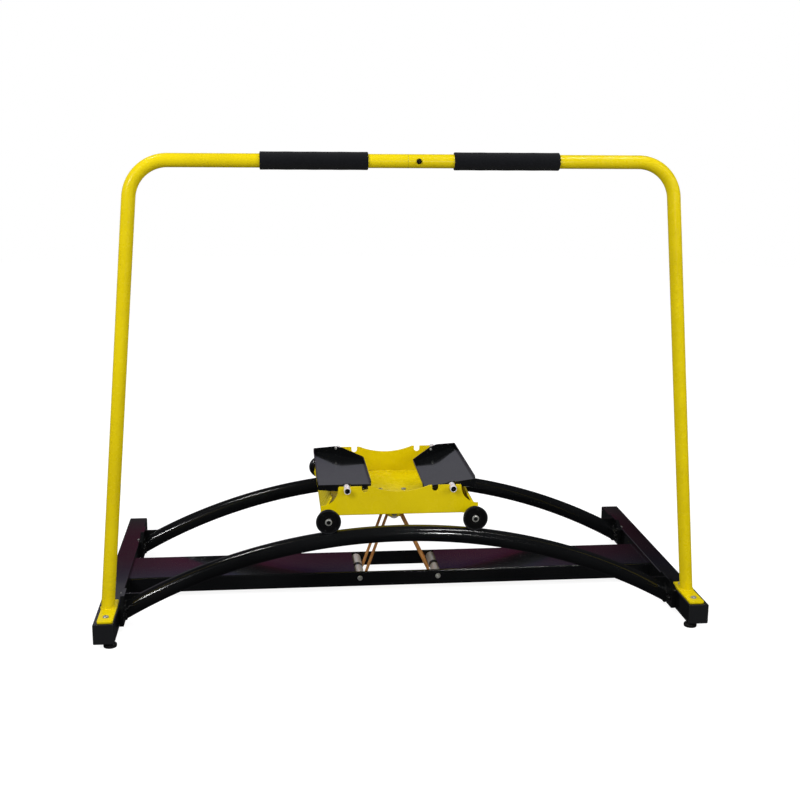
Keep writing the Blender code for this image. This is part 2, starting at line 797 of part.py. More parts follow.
def build_wheel_axle(end, facing, side, sign):
    # Shoulder bolt: nut inside the tray, collar up to the wheel, journal, domed head with socket.
    inner = tray_y - sheet - fit_gap
    collar_start = tray_y + fit_gap
    collar_end = rail_y - wheel_width / 2 - fit_gap
    head_start = rail_y + wheel_width / 2 + fit_gap
    nut_end = inner - axle_nut_height
    profile = [(nut_end, 0.0042), (nut_end, axle_nut), (inner, axle_nut), (inner, wheel_axle)]
    profile += [(collar_start, wheel_axle), (collar_start, axle_collar)]
    profile += [(collar_end, axle_collar), (collar_end, wheel_axle)]
    profile += [(head_start, wheel_axle), (head_start, axle_head), (head_start + 0.0018, axle_head)]
    profile += [(head_start + 0.0055, 0.0062), (head_start + 0.0055, 0.0040), (head_start + 0.0025, 0.0036)]
    profile = [(facing * along, radius) for along, radius in profile]
    centre = (sign * wheel_x, 0.0, wheel_z)
    return lathe(end + "_" + side + "_wheel_axle", profile, centre, "Y", "zinc_steel", 10)


# Footplates

def plate_edges(sign, y):
    # Inner and outer edge, measured from the middle of the carriage outwards.
    middle = pivot_x + sign * footplate_shift
    half = footplate_half - footplate_taper * (y - footplate_near_y)
    return middle - half, middle + half


def build_footplate(side, sign, tilt):
    # Folded sheet with a low lip on both long sides and a gabled heel wall set askew.
    t = footplate_sheet
    low = footplate_top - t
    fold_z = low + fold_overlap
    near = footplate_near_y
    inner_near, outer_near = plate_edges(sign, near)
    inner_heel = plate_edges(sign, heel_inner_y)[0]
    outer_heel = plate_edges(sign, heel_outer_y)[1]
    notch = (pivot_x - cutout_half, pivot_x + cutout_half)
    outline = [(inner_near, near), (notch[0], near), (notch[0], cutout_end_y)]
    outline += [(notch[1], cutout_end_y), (notch[1], near), (outer_near, near)]
    outline += [(outer_heel, heel_outer_y), (inner_heel, heel_inner_y)]
    plate = prism(side + "_footplate", [(sign * p[0], p[1]) for p in outline], low, t, "Z", "black_enamel")
    for edge, heel_y, inwards in ((0, heel_inner_y, 1), (1, heel_outer_y, -1)):
        far = heel_y - lip_gap
        near_x = plate_edges(sign, near)[edge] + inwards * edge_inset
        far_x = plate_edges(sign, far)[edge] + inwards * edge_inset
        thick = inwards * t
        lip = [(near_x, near), (near_x + thick, near), (far_x + thick, far), (far_x, far)]
        lip = [(sign * x, y) for x, y in lip]
        join(plate, prism("lip", lip, fold_z, footplate_top + lip_height - fold_z, "Z", "black_enamel"))
    for corner_x, notch_x in ((inner_near + edge_inset, notch[0]), (outer_near - edge_inset, notch[1])):
        flange = [(corner_x, fold_z), (corner_x, footplate_top - flange_shallow)]
        flange += [(notch_x, footplate_top - flange_deep), (notch_x, fold_z)]
        flange = [(sign * x, z) for x, z in flange]
        join(plate, prism("flange", flange, near, t, "Y", "black_enamel"))
    join(plate, heel_wall(sign, inner_heel + edge_inset, outer_heel - edge_inset, low))
    for tab_y in (cutout_end_y, rear_tab_y):
        tab = arc((sign * pivot_x, pivot_z), tab_radius, 180, 360, 5)
        tab += [(sign * pivot_x + tab_radius, fold_z), (sign * pivot_x - tab_radius, fold_z)]
        join(plate, prism("tab", tab, tab_y, t, "Y", "black_enamel"))
    cut(plate, cylinder_tool((sign * pivot_x, 0.0, pivot_z), "Y", rod_radius + 0.0004, -0.2, 0.1))
    face_outwards(plate)
    pivot = Vector((sign * pivot_x, 0.0, pivot_z))
    turn = Matrix.Rotation(radians(tilt), 4, "Y")
    plate.data.transform(Matrix.Translation(-pivot))
    plate.data.transform(turn)
    plate.location = pivot
    return plate


def heel_wall(sign, inner_x, outer_x, low):
    slope = (heel_outer_y - heel_inner_y) / (outer_x - inner_x)
    middle = (inner_x + outer_x) / 2
    heights = [(inner_x, heel_low), (middle - heel_flat, heel_peak)]
    heights += [(middle + heel_flat, heel_peak), (outer_x, heel_low)]
    thick = footplate_sheet * sqrt(1 + slope ** 2)
    points = []
    for back in (0.0, thick):
        for x, height in heights:
            y = heel_inner_y + slope * (x - inner_x) - back
            points.append((sign * x, y, low + 0.0004))
            points.append((sign * x, y, footplate_top + height))
    count = len(heights)
    faces = []
    for i in range(count - 1):
        a = 2 * i
        b = 2 * count + a
        faces.append((a, a + 2, a + 3, a + 1))
        faces.append((b, b + 1, b + 3, b + 2))
        faces.append((a + 1, a + 3, b + 3, b + 1))
        faces.append((a, b, b + 2, a + 2))
    last = 2 * (count - 1)
    faces.append((0, 1, 2 * count + 1, 2 * count))
    faces.append((last, 2 * count + last, 2 * count + last + 1, last + 1))
    return make_object("heel_wall", points, faces, "black_enamel")


def build_footplate_pivot(side, sign):
    centre = (sign * pivot_x, 0.0, pivot_z)
    reach = sleeve_end_y - mouth_depth
    profile = [(-reach, rod_radius), (reach, rod_radius)]
    lathe(side + "_footplate_rod", profile, centre, "Y", "zinc_steel", 12)
    for end, facing in (("front", -1), ("rear", 1)):
        # A neck in the middle of each sleeve drops into the notch of the tray's side.
        bore = rod_radius + fit_gap
        neck_start = tray_y - sheet - 0.0005
        neck_end = tray_y + 0.0005
        mouth_start = sleeve_end_y - mouth_depth + fit_gap
        ring = [(sleeve_start_y, bore), (sleeve_start_y, sleeve_radius), (neck_start, sleeve_radius)]
        ring += [(neck_start, sleeve_neck), (neck_end, sleeve_neck), (neck_end, sleeve_radius)]
        ring += [(sleeve_end_y - 0.0008, sleeve_radius), (sleeve_end_y, sleeve_radius - 0.0008)]
        ring += [(sleeve_end_y, sleeve_mouth), (mouth_start, sleeve_mouth), (mouth_start, bore)]
        ring = [(facing * along, radius) for along, radius in ring]
        lathe(side + "_" + end + "_pivot_sleeve", ring, centre, "Y", "pale_nylon", 14, closed_loop=True)


# Elastic bands: under a base roller on each side and over a pulley of the carriage

def band_side(sign, y):
    # From the anchor under the base roller to the pulley, and how far that strand leans inwards.
    away = abs(sign * roller_x + roller_shift)
    roller_wrap = roller_radius + band_radius + fit_gap
    distance = sqrt(away ** 2 + (pulley_z - roller_z) ** 2)
    lean = asin(away / distance) - asin((roller_wrap + pulley_wrap) / distance)
    climb = (anchor_z - roller_z + roller_wrap) / (anchor_x - away)
    path = [Vector((sign * (anchor_x + 0.012), y, anchor_z)), Vector((sign * (anchor_x - 0.004), y, anchor_z))]
    steps = 6
    for i in range(steps + 1):
        angle = -pi / 2 - climb + (pi / 2 + climb - lean) * i / steps
        x = -away + roller_wrap * cos(angle)
        path.append(Vector((-sign * x, y, roller_z + roller_wrap * sin(angle))))
    return path, lean


def band_path(y):
    left, left_lean = band_side(-1, y)
    right, right_lean = band_side(1, y)
    over = []
    steps = 6
    for i in range(steps + 1):
        angle = pi - left_lean - (pi - left_lean - right_lean) * i / steps
        over.append(Vector((pulley_wrap * cos(angle), y, pulley_z + pulley_wrap * sin(angle))))
    return left + over + right[::-1]


def build_band(end, facing):
    y = facing * band_y
    segments = 8
    rings = [ring_at(centre, forward, side, band_radius, segments)
             for centre, forward, side in frames_along(band_path(y))]
    # A crimped stop behind the anchor plate at each end.
    stop = ((0.0180, 0.0055), (0.0165, stop_radius), (0.0045, stop_radius), (0.0045, band_radius))
    forward = Vector((1.0, 0.0, 0.0))
    side = Vector((0.0, 1.0, 0.0))
    first = [ring_at(Vector((-anchor_x - back, y, anchor_z)), forward, side, radius, segments)
             for back, radius in stop]
    last = [ring_at(Vector((anchor_x + back, y, anchor_z)), forward, side, radius, segments)
            for back, radius in reversed(stop)]
    points, faces = rings_to_mesh(first + rings[1:-1] + last, False)
    return make_object(end + "_elastic_band", points, faces, "amber_latex", 40)


clear_scene()

for side, sign in (("left", -1), ("right", 1)):
    build_crossbar(side, sign)
    build_handle_half(side, sign)
    build_handle_fixings(side, sign)
    build_grip(side, sign)
    build_roller_fixings(side, sign)
    build_band_anchor(side, sign)
    build_footplate_pivot(side, sign)
    for end, facing in (("front", -1), ("rear", 1)):
        build_end_cap(side, sign, end, facing)
        build_foot(side, sign, end, facing)
        build_roller(side, sign, end, facing)
        build_wheel(end, facing, side, sign)
        build_wheel_axle(end, facing, side, sign)

build_footplate("left", -1, left_footplate_tilt)
build_footplate("right", 1, right_footplate_tilt)
build_channel()
build_splice()
build_tray()
build_hanger()
build_hanger_fixings()
for end, facing in (("front", -1), ("rear", 1)):
    build_rail(end, facing)
    build_pulley(end, facing)
    build_band(end, facing)
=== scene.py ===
import bpy
import bmesh
import json
from math import asin, cos, degrees, pi, radians, sin, sqrt, tan
from mathutils import Matrix, Vector

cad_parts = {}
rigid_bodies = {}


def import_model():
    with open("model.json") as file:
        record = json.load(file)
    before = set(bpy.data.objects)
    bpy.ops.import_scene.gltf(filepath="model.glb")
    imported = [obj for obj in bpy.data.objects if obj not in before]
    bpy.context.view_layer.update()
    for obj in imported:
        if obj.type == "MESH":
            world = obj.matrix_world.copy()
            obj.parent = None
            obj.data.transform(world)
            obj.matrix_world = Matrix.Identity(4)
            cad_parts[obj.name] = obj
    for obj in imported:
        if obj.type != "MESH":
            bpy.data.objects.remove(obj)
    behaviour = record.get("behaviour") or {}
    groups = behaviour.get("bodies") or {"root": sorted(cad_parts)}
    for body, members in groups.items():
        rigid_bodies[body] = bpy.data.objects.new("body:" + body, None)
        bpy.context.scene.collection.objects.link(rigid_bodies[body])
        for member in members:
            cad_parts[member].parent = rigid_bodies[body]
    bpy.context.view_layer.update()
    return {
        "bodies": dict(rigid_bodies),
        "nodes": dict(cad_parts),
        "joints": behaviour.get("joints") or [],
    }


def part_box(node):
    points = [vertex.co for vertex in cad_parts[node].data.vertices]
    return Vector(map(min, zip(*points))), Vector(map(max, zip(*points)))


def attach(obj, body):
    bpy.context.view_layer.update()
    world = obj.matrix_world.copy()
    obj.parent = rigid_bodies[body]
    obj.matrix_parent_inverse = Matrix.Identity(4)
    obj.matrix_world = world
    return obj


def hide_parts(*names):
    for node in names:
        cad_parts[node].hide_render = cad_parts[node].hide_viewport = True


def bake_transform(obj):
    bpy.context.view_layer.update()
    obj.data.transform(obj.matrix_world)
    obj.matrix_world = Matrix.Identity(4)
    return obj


# Ski ergometer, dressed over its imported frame. X runs along the rails, the handle is on the -Y side, Z is up.

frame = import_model()
joints = {joint["name"]: joint for joint in frame["joints"]}
xAxis, yAxis, zAxis = Vector((1, 0, 0)), Vector((0, 1, 0)), Vector((0, 0, 1))
sides = (("left", -1), ("right", 1))
ends = (("front", -1), ("rear", 1))
print("frame loaded")


# Nodes and materials

def hexToLinear(code):
    parts = [int(code[i:i + 2], 16) / 255 for i in (0, 2, 4)]
    return [p / 12.92 if p <= 0.04045 else ((p + 0.055) / 1.055) ** 2.4 for p in parts] + [1.0]


def addNode(tree, kind, values=None, links=None, **settings):
    node = tree.nodes.new(kind)
    for name, value in settings.items():
        setattr(node, name, value)
    for name, value in (values or {}).items():
        node.inputs[name].default_value = value
    for name, socket in (links or {}).items():
        tree.links.new(socket, node.inputs[name])
    return node


def startTree(owner):
    owner.use_nodes = True
    owner.node_tree.nodes.clear()
    return owner.node_tree


def startMaterial(name, look):
    material = bpy.data.materials.new(name)
    tree = startTree(material)
    shader = addNode(tree, "ShaderNodeBsdfPrincipled", look)
    addNode(tree, "ShaderNodeOutputMaterial", links={"Surface": shader.outputs["BSDF"]})
    return material, tree, shader, addNode(tree, "ShaderNodeTexCoord").outputs["Object"]


def layFinish(tree, shader, colourBy, colours, roughBy, roughness, reliefBy, relief, stops=(0.0, 1.0)):
    # Colour, roughness and relief, each led by a pattern. Relief is how strong and how deep.
    ramp = addNode(tree, "ShaderNodeValToRGB", links={"Fac": colourBy})
    for k in range(2):
        ramp.color_ramp.elements[k].position = stops[k]
        ramp.color_ramp.elements[k].color = hexToLinear(colours[k])
    rough = addNode(tree, "ShaderNodeMapRange", {"To Min": roughness[0], "To Max": roughness[1]},
                    {"Value": roughBy})
    bump = addNode(tree, "ShaderNodeBump", {"Strength": relief[0], "Distance": relief[1]},
                   {"Height": reliefBy})
    tree.links.new(ramp.outputs["Color"], shader.inputs["Base Color"])
    tree.links.new(rough.outputs["Result"], shader.inputs["Roughness"])
    tree.links.new(bump.outputs["Normal"], shader.inputs["Normal"])
    return bump


# Colours of the full coat and of a coat a little thinner, and how deep the orange peel is.
blackPowder = {"colours": ("0A0B0C", "101112"), "roughness": 0.15, "shine": 0.5, "coat": 0.35,
               "peel": 0.0000012}
yellowPowder = {"colours": ("DEC704", "D1BA04"), "roughness": 0.26, "shine": 0.3, "coat": 0.12,
                "peel": 0.0000015}


def powderCoatMaterial(name, look):
    # Polyester powder coat, sprayed and baked: one even colour under a gloss that ripples like orange peel.
    material, tree, shader, place = startMaterial(name, {"IOR": 1.5, "Specular IOR Level": look["shine"],
                                                         "Coat Weight": look["coat"], "Coat IOR": 1.5,
                                                         "Coat Roughness": 0.05})
    cloud = addNode(tree, "ShaderNodeTexNoise", {"Scale": 1 / 0.16, "Detail": 3.0, "Roughness": 0.55},
                    {"Vector": place})
    # Handling leaves the gloss a little uneven, in patches of 20 to 40 mm.
    patch = addNode(tree, "ShaderNodeTexNoise", {"Scale": 1 / 0.030, "Detail": 4.0, "Roughness": 0.6},
                    {"Vector": place})
    # The peel's ripples are 3 mm long.
    peel = addNode(tree, "ShaderNodeTexNoise", {"Scale": 1 / 0.0030, "Detail": 1.5, "Roughness": 0.4},
                   {"Vector": place})
    roughness = (look["roughness"] * 0.75, look["roughness"] * 1.35)
    bump = layFinish(tree, shader, cloud.outputs["Fac"], look["colours"], patch.outputs["Fac"], roughness,
                     peel.outputs["Fac"], (1.0, look["peel"]), (0.35, 0.70))
    tree.links.new(bump.outputs["Normal"], shader.inputs["Coat Normal"])
    return material


def turnedNylonMaterial():
    # Natural nylon, turned from bar: milky, slightly warm, with the fine rings of the lathe tool.
    material, tree, shader, place = startMaterial("turnedNylon", {"IOR": 1.53, "Subsurface Weight": 0.12,
                                                                  "Subsurface Scale": 0.003})
    cloud = addNode(tree, "ShaderNodeTexNoise", {"Scale": 1 / 0.012, "Detail": 3.0}, {"Vector": place})
    # The real feed is about 0.2 mm a turn, drawn here at 1.6 mm so that it shows.
    rings = addNode(tree, "ShaderNodeTexWave", {"Scale": 1 / (0.0016 * 20 / (2 * pi)), "Distortion": 0.4,
                                                "Detail": 1.0},
                    {"Vector": place}, wave_type="BANDS", bands_direction="Y").outputs["Fac"]
    layFinish(tree, shader, cloud.outputs["Fac"], ("D8D4D5", "C6C1C3"), rings, (0.36, 0.52), rings,
              (0.5, 0.00003))
    return material


def zincMaterial():
    # Bright zinc-plated steel: a cool metal with faint cloudy patches and short handling scratches.
    material, tree, shader, place = startMaterial("brightZincSteel", {"Metallic": 0.65})
    cloud = addNode(tree, "ShaderNodeTexNoise", {"Scale": 1 / 0.006, "Detail": 4.0}, {"Vector": place})
    scratch = addNode(tree, "ShaderNodeTexNoise", {"Scale": 1 / 0.0012, "Detail": 2.0, "Distortion": 0.6},
                      {"Vector": place}).outputs["Fac"]
    layFinish(tree, shader, cloud.outputs["Fac"], ("D2D2CC", "B4B5B0"), scratch, (0.20, 0.40), scratch,
              (0.4, 0.00002))
    return material


def blackOxideMaterial():
    # Black-oxide steel, oiled: nearly black metal, with the bare steel showing through in specks.
    material, tree, shader, place = startMaterial("blackOxideSteel", {"Metallic": 0.85})
    speck = addNode(tree, "ShaderNodeTexNoise", {"Scale": 1 / 0.0015, "Detail": 5.0, "Roughness": 0.7},
                    {"Vector": place}).outputs["Fac"]
    layFinish(tree, shader, speck, ("232425", "5C5C5A"), speck, (0.28, 0.46), speck, (0.3, 0.00002),
              (0.45, 0.85))
    return material


def polyurethaneMaterial():
    # Cast polyurethane, skimmed on a lathe: gloss black with tight rings, and a duller band where it rolls.
    material, tree, shader, place = startMaterial("castPolyurethane", {"IOR": 1.5, "Coat Weight": 0.25,
                                                                       "Coat Roughness": 0.12})
    axes = addNode(tree, "ShaderNodeSeparateXYZ", links={"Vector": place})
    flat = addNode(tree, "ShaderNodeCombineXYZ", links={"X": axes.outputs["X"], "Y": axes.outputs["Z"]})
    reach = addNode(tree, "ShaderNodeVectorMath", links={0: flat.outputs["Vector"]}, operation="LENGTH")
    tread = addNode(tree, "ShaderNodeMapRange", {"From Min": 0.0265, "From Max": 0.0290},
                    {"Value": reach.outputs["Value"]})
    dust = addNode(tree, "ShaderNodeTexNoise", {"Scale": 1 / 0.004, "Detail": 4.0}, {"Vector": place})
    worn = addNode(tree, "ShaderNodeMath", links={0: tread.outputs["Result"], 1: dust.outputs["Fac"]},
                   operation="MULTIPLY").outputs["Value"]
    # Skim rings 0.8 mm apart.
    turns = addNode(tree, "ShaderNodeMath", {1: 2 * pi / 0.0008}, {0: reach.outputs["Value"]},
                    operation="MULTIPLY")
    wave = addNode(tree, "ShaderNodeMath", links={0: turns.outputs["Value"]}, operation="SINE")
    layFinish(tree, shader, worn, ("0B0B0C", "26272A"), worn, (0.20, 0.45), wave.outputs["Value"],
              (0.3, 0.00002))
    return material


def foamMaterial():
    # Nitrile foam tube, extruded: matte black skin with closed pores of about a millimetre.
    material, tree, shader, place = startMaterial("nitrileFoam", {"IOR": 1.45, "Specular IOR Level": 0.18,
                                                                  "Sheen Weight": 0.05, "Sheen Roughness": 0.6})
    pores = addNode(tree, "ShaderNodeTexVoronoi", {"Scale": 1 / 0.0011}, {"Vector": place})
    cloud = addNode(tree, "ShaderNodeTexNoise", {"Scale": 1 / 0.020, "Detail": 5.0},
                    {"Vector": place}).outputs["Fac"]
    layFinish(tree, shader, cloud, ("090A0D", "111216"), cloud, (0.78, 0.95), pores.outputs["Distance"],
              (0.6, 0.00012))
    return material


def mouldedBlackMaterial(name, colours, roughness, grain):
    # Moulded polypropylene or rubber: spark-eroded grain from the mould, with a faint painted sheen, the high
    # spots a little lighter in colour.
    material, tree, shader, place = startMaterial(name, {"IOR": 1.49})
    speck = addNode(tree, "ShaderNodeTexNoise", {"Scale": 1 / grain, "Detail": 2.0},
                    {"Vector": place}).outputs["Fac"]
    layFinish(tree, shader, speck, colours, speck, (roughness * 0.85, roughness * 1.15), speck, (0.5, 0.00003))
    return material


def latexMaterial():
    # Dipped latex cord: amber, a little translucent, smooth, with a darker cast where the wall is thick.
    material, tree, shader, place = startMaterial("amberLatex", {"IOR": 1.52, "Subsurface Weight": 0.20,
                                                                 "Subsurface Scale": 0.004,
                                                                 "Subsurface Radius": (1.0, 0.45, 0.18)})
    cloud = addNode(tree, "ShaderNodeTexNoise", {"Scale": 1 / 0.018, "Detail": 4.0, "Roughness": 0.6},
                    {"Vector": place})
    bloom = addNode(tree, "ShaderNodeTexNoise", {"Scale": 1 / 0.0014, "Detail": 3.0},
                    {"Vector": place}).outputs["Fac"]
    layFinish(tree, shader, cloud.outputs["Fac"], ("C98E4E", "A96F38"), bloom, (0.28, 0.48), bloom,
              (0.4, 0.00003), (0.30, 0.75))
    return material


# Each slot of the record has one finish.
finishes = {
    "black_enamel": powderCoatMaterial("glossBlackPowderCoat", blackPowder),
    "yellow_enamel": powderCoatMaterial("glossYellowPowderCoat", yellowPowder),
    "pale_nylon": turnedNylonMaterial(),
    "zinc_steel": zincMaterial(),
    "black_steel": blackOxideMaterial(),
    "polyurethane": polyurethaneMaterial(),
    "foam": foamMaterial(),
    "black_plastic": mouldedBlackMaterial("mouldedPolypropylene", ("131416", "1E1F21"), 0.42, 0.0009),
    "black_rubber": mouldedBlackMaterial("mouldedRubber", ("0C0C0D", "1A1A1B"), 0.55, 0.0012),
    "latex": latexMaterial(),
}
print("materials made")


# Mesh making

# Fillets of turned edges and of cut sheet, the play between parts, and how far a cutting tool reaches past.
turnedEdge, sheetEdge, play, past = 0.0003, 0.0004, 0.0003, 0.01


def makePiece(name, points, faces, centre=(0, 0, 0)):
    # The object's origin is the piece's own centre, so patterns that turn with it are measured from there.
    middle = Vector(centre)
    mesh = bpy.data.meshes.new(name)
    mesh.from_pydata([Vector(p) - middle for p in points], [], faces)
    shape = bmesh.new()
    shape.from_mesh(mesh)
    bmesh.ops.remove_doubles(shape, verts=shape.verts, dist=1e-7)
    bmesh.ops.recalc_face_normals(shape, faces=shape.faces)
    if shape.calc_volume(signed=True) < 0:
        bmesh.ops.reverse_faces(shape, faces=shape.faces)
    shape.to_mesh(mesh)
    shape.free()
    piece = bpy.data.objects.new(name, mesh)
    piece.location = middle
    bpy.context.scene.collection.objects.link(piece)
    return piece


def bakeModifiers(piece):
    bpy.context.view_layer.update()
    old = piece.data
    piece.data = bpy.data.meshes.new_from_object(piece.evaluated_get(bpy.context.evaluated_depsgraph_get()))
    piece.modifiers.clear()
    bpy.data.meshes.remove(old)


def combine(piece, tool, how):
    step = piece.modifiers.new(how, "BOOLEAN")
    step.operation, step.solver, step.object = how, "EXACT", tool
    bakeModifiers(piece)
    bpy.data.objects.remove(tool, do_unlink=True)
    return piece


def softenEdges(piece, width, steps=2, angle=35):
    shape = bmesh.new()
    shape.from_mesh(piece.data)
    bmesh.ops.dissolve_limit(shape, angle_limit=radians(0.5), verts=shape.verts, edges=shape.edges)
    shape.to_mesh(piece.data)
    shape.free()
    edge = piece.modifiers.new("edge", "BEVEL")
    edge.width, edge.segments, edge.limit_method, edge.angle_limit = width, steps, "ANGLE", radians(angle)
    edge.use_clamp_overlap = True
    bakeModifiers(piece)
    return piece


def dress(piece, slot, body, *nodes, sharp=42):
    # Finish, shading, the body that carries the piece, and the nodes of the frame that it stands for.
    piece.data.materials.clear()
    piece.data.materials.append(finishes[slot])
    for face in piece.data.polygons:
        face.material_index = 0
    piece.data.shade_smooth()
    piece.data.set_sharp_from_angle(angle=radians(sharp))
    weigh = piece.modifiers.new("weigh", "WEIGHTED_NORMAL")
    weigh.keep_sharp = True
    bakeModifiers(piece)
    if body:
        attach(piece, body)
    if nodes:
        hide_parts(*nodes)
    return piece


def filletCorners(corners, closed=True, steps=5):
    # Corners are (a, b) or (a, b, radius); each one with a radius becomes an arc.
    outline = []
    for i, corner in enumerate(corners):
        here = Vector(corner[:2])
        radius = corner[2] if len(corner) > 2 else 0
        if radius <= 0 or (not closed and i in (0, len(corners) - 1)):
            outline.append(here)
            continue
        before = Vector(corners[i - 1][:2])
        after = Vector(corners[(i + 1) % len(corners)][:2])
        into, out = (here - before).normalized(), (after - here).normalized()
        turn = into.angle(out)
        if turn < 0.02:
            outline.append(here)
            continue
        trim = min(radius * tan(turn / 2), 0.49 * (here - before).length, 0.49 * (after - here).length)
        radius = trim / tan(turn / 2)
        inward = (out - into * into.dot(out)).normalized()
        centre = here - into * trim + inward * radius
        for k in range(steps + 1):
            a = turn * k / steps
            outline.append(centre - inward * (radius * cos(a)) + into * (radius * sin(a)))
    return outline


def arcPoints(centre, radius, start, end, steps):
    turns = [radians(start + (end - start) * i / steps) for i in range(steps + 1)]
    return [Vector((centre[0] + radius * cos(a), centre[1] + radius * sin(a))) for a in turns]


def ringFaces(rings, closed):
    size = len(rings[0])
    faces = []
    for r in range(len(rings) if closed else len(rings) - 1):
        a, b = r * size, (r + 1) % len(rings) * size
        faces += [(a + i, a + (i + 1) % size, b + (i + 1) % size, b + i) for i in range(size)]
    if not closed:
        faces.append(tuple(range(size - 1, -1, -1)))
        faces.append(tuple(range((len(rings) - 1) * size, len(rings) * size)))
    return faces


def ringsPiece(name, rings, closed=False, centre=(0, 0, 0)):
    return makePiece(name, [p for ring in rings for p in ring], ringFaces(rings, closed), centre)


def axisFrame(axis):
    w = Vector(axis).normalized()
    u = (zAxis if abs(w.z) < 0.9 else xAxis).cross(w).normalized()
    return u, w.cross(u), w


def lathePiece(name, corners, centre, axis, hollow=False, segments=64, steps=4):
    # Corners are (distance along the axis, radius) or with a fillet as the third number.
    u, v, w = axisFrame(axis)
    rings = []
    for along, radius in filletCorners(corners, closed=hollow, steps=steps):
        radius = max(radius, 1e-5)
        turns = [2 * pi * i / segments for i in range(segments)]
        rings.append([Vector(centre) + w * along + (u * cos(a) + v * sin(a)) * radius for a in turns])
    return ringsPiece(name, rings, hollow, centre)


def prismPiece(name, outline, start, end, axis):
    # The outline is (x, z) across Y, (y, z) across X and (x, y) across Z.
    place = "XYZ".index(axis)
    rings = [[(*p[:place], d, *p[place:]) for p in outline] for d in (start, end)]
    return ringsPiece(name, rings)


def carve(piece, outline, start, end, axis, how="DIFFERENCE"):
    return combine(piece, prismPiece("tool", outline, start, end, axis), how)


def boxOutline(low, high, radius=0.0, steps=5):
    corners = ((low[0], low[1]), (high[0], low[1]), (high[0], high[1]), (low[0], high[1]))
    return filletCorners([(*corner, radius) for corner in corners], steps=steps)


def foldedSection(low, high, sheet, bend, steps):
    # Section across X of a sheet folded down along both long edges.
    inner = bend - sheet
    return filletCorners([(low.y, low.z), (low.y, high.z, bend), (high.y, high.z, bend), (high.y, low.z),
                          (high.y - sheet, low.z), (high.y - sheet, high.z - sheet, inner),
                          (low.y + sheet, high.z - sheet, inner), (low.y + sheet, low.z)], steps=steps)


def shadeCupPiece(name, bottom, mouth, radius, wall, rim, centre, axis):
    # A thin cup that lines a bore; dressed black, it paints the shade inside the bore.
    inner = radius - wall
    corners = [(bottom, 0.0), (bottom, radius), (mouth, radius, rim), (mouth, inner, rim),
               (bottom + wall, inner), (bottom + wall, 0.0)]
    return lathePiece(name, corners, centre, axis, segments=40)


def drill(piece, centre, axis, radius, reach, segments=32):
    tool = lathePiece("drill", [(-reach, radius), (reach, radius)], centre, axis, segments=segments)
    return combine(piece, tool, "DIFFERENCE")


def sweepRings(path, radius, segments, startCut=None, endCut=None):
    # The path stays in a plane across Y. A cut is the plane (point, normal) that trims that end.
    rings = []
    for i, point in enumerate(path):
        forward = (path[min(i + 1, len(path) - 1)] - path[max(i - 1, 0)]).normalized()
        up = forward.cross(yAxis).normalized()
        turns = [2 * pi * k / segments for k in range(segments)]
        rings.append([point + (yAxis * cos(a) + up * sin(a)) * radius for a in turns])
        cutPlane = startCut if i == 0 else endCut if i == len(path) - 1 else None
        if cutPlane:
            spot, normal = cutPlane
            rings[-1] = [p + forward * ((spot - p).dot(normal) / forward.dot(normal)) for p in rings[-1]]
    return rings


def tubePiece(name, path, radius, wall, segments, startCut=None, endCut=None):
    outer = sweepRings(path, radius, segments, startCut, endCut)
    inner = sweepRings(path, radius - wall, segments, startCut, endCut)
    return ringsPiece(name, outer + inner[::-1], True), outer


weld = {"radius": 0.0024, "ripple": 0.00028, "pitch": 0.0030}


def weldBead(name, loop, normal, size=1.0):
    # A hand-laid bead round a tube: overlapping scales 3 mm apart.
    count = len(loop)
    length = sum((loop[i] - loop[i - 1]).length for i in range(count))
    scales = round(length / weld["pitch"])
    rings = []
    for i, point in enumerate(loop):
        forward = (loop[(i + 1) % count] - loop[i - 1]).normalized()
        across = forward.cross(normal).normalized()
        phase = (i / count * scales) % 1.0
        radius = size * (weld["radius"] + weld["ripple"] * sqrt(phase) * 1.5)
        rings.append([point + (normal * cos(a) + across * sin(a)) * radius
                      for a in [2 * pi * k / 10 for k in range(10)]])
    return ringsPiece(name, rings, True)


def denseLoop(ring, count):
    # The same closed loop with more points, by straight steps between its own.
    size = len(ring)
    loop = []
    for i in range(count):
        t = i / count * size
        a, b = ring[int(t) % size], ring[(int(t) + 1) % size]
        loop.append(a.lerp(b, t - int(t)))
    return loop


# Screws

# Angle from which a screw's edges stay sharp, and the rounding of a nut's edges.
boltSharp, nutEdge = 32, 0.0005
flangeBolt = {"head": 0.0062, "height": 0.0052, "rim": 0.0012, "socket": 0.0034, "depth": 0.0026,
              "shank": 0.0036, "length": 0.0080, "washer": 0.0078, "washerThick": 0.0014}
plateBolt = {"head": 0.0072, "height": 0.0048, "rim": 0.0010, "socket": 0.0028, "depth": 0.0024,
             "shank": 0.0040, "length": 0.0175}
rollerBolt = {"head": 0.0070, "height": 0.0052, "rim": 0.0012, "socket": 0.0028, "depth": 0.0026,
              "shank": 0.0032, "length": 0.1718, "nut": 0.0110, "nutAt": 0.1656, "nutThick": 0.0050}
spliceBolt = {"head": 0.0064, "height": 0.0048, "rim": 0.0010, "socket": 0.0023, "depth": 0.0022,
              "shank": 0.0035, "length": 0.0390, "nut": 0.0105, "nutAt": 0.0326, "nutThick": 0.0050}
hangerBolt = {"head": 0.0068, "height": 0.0046, "rim": 0.0010, "socket": 0.0026, "depth": 0.0022,
              "shank": 0.0040, "length": 0.0138, "nut": 0.0120, "nutAt": 0.0068, "nutThick": 0.0055}


def hexPrism(name, centre, axis, acrossFlats, low, high):
    u, v, w = axisFrame(axis)
    radius = acrossFlats / sqrt(3)
    corners = [(u * cos(a) + v * sin(a)) * radius for a in [0.26 + k * pi / 3 for k in range(6)]]
    return ringsPiece(name, [[Vector(centre) + corner + w * d for corner in corners] for d in (low, high)],
                      False, centre)


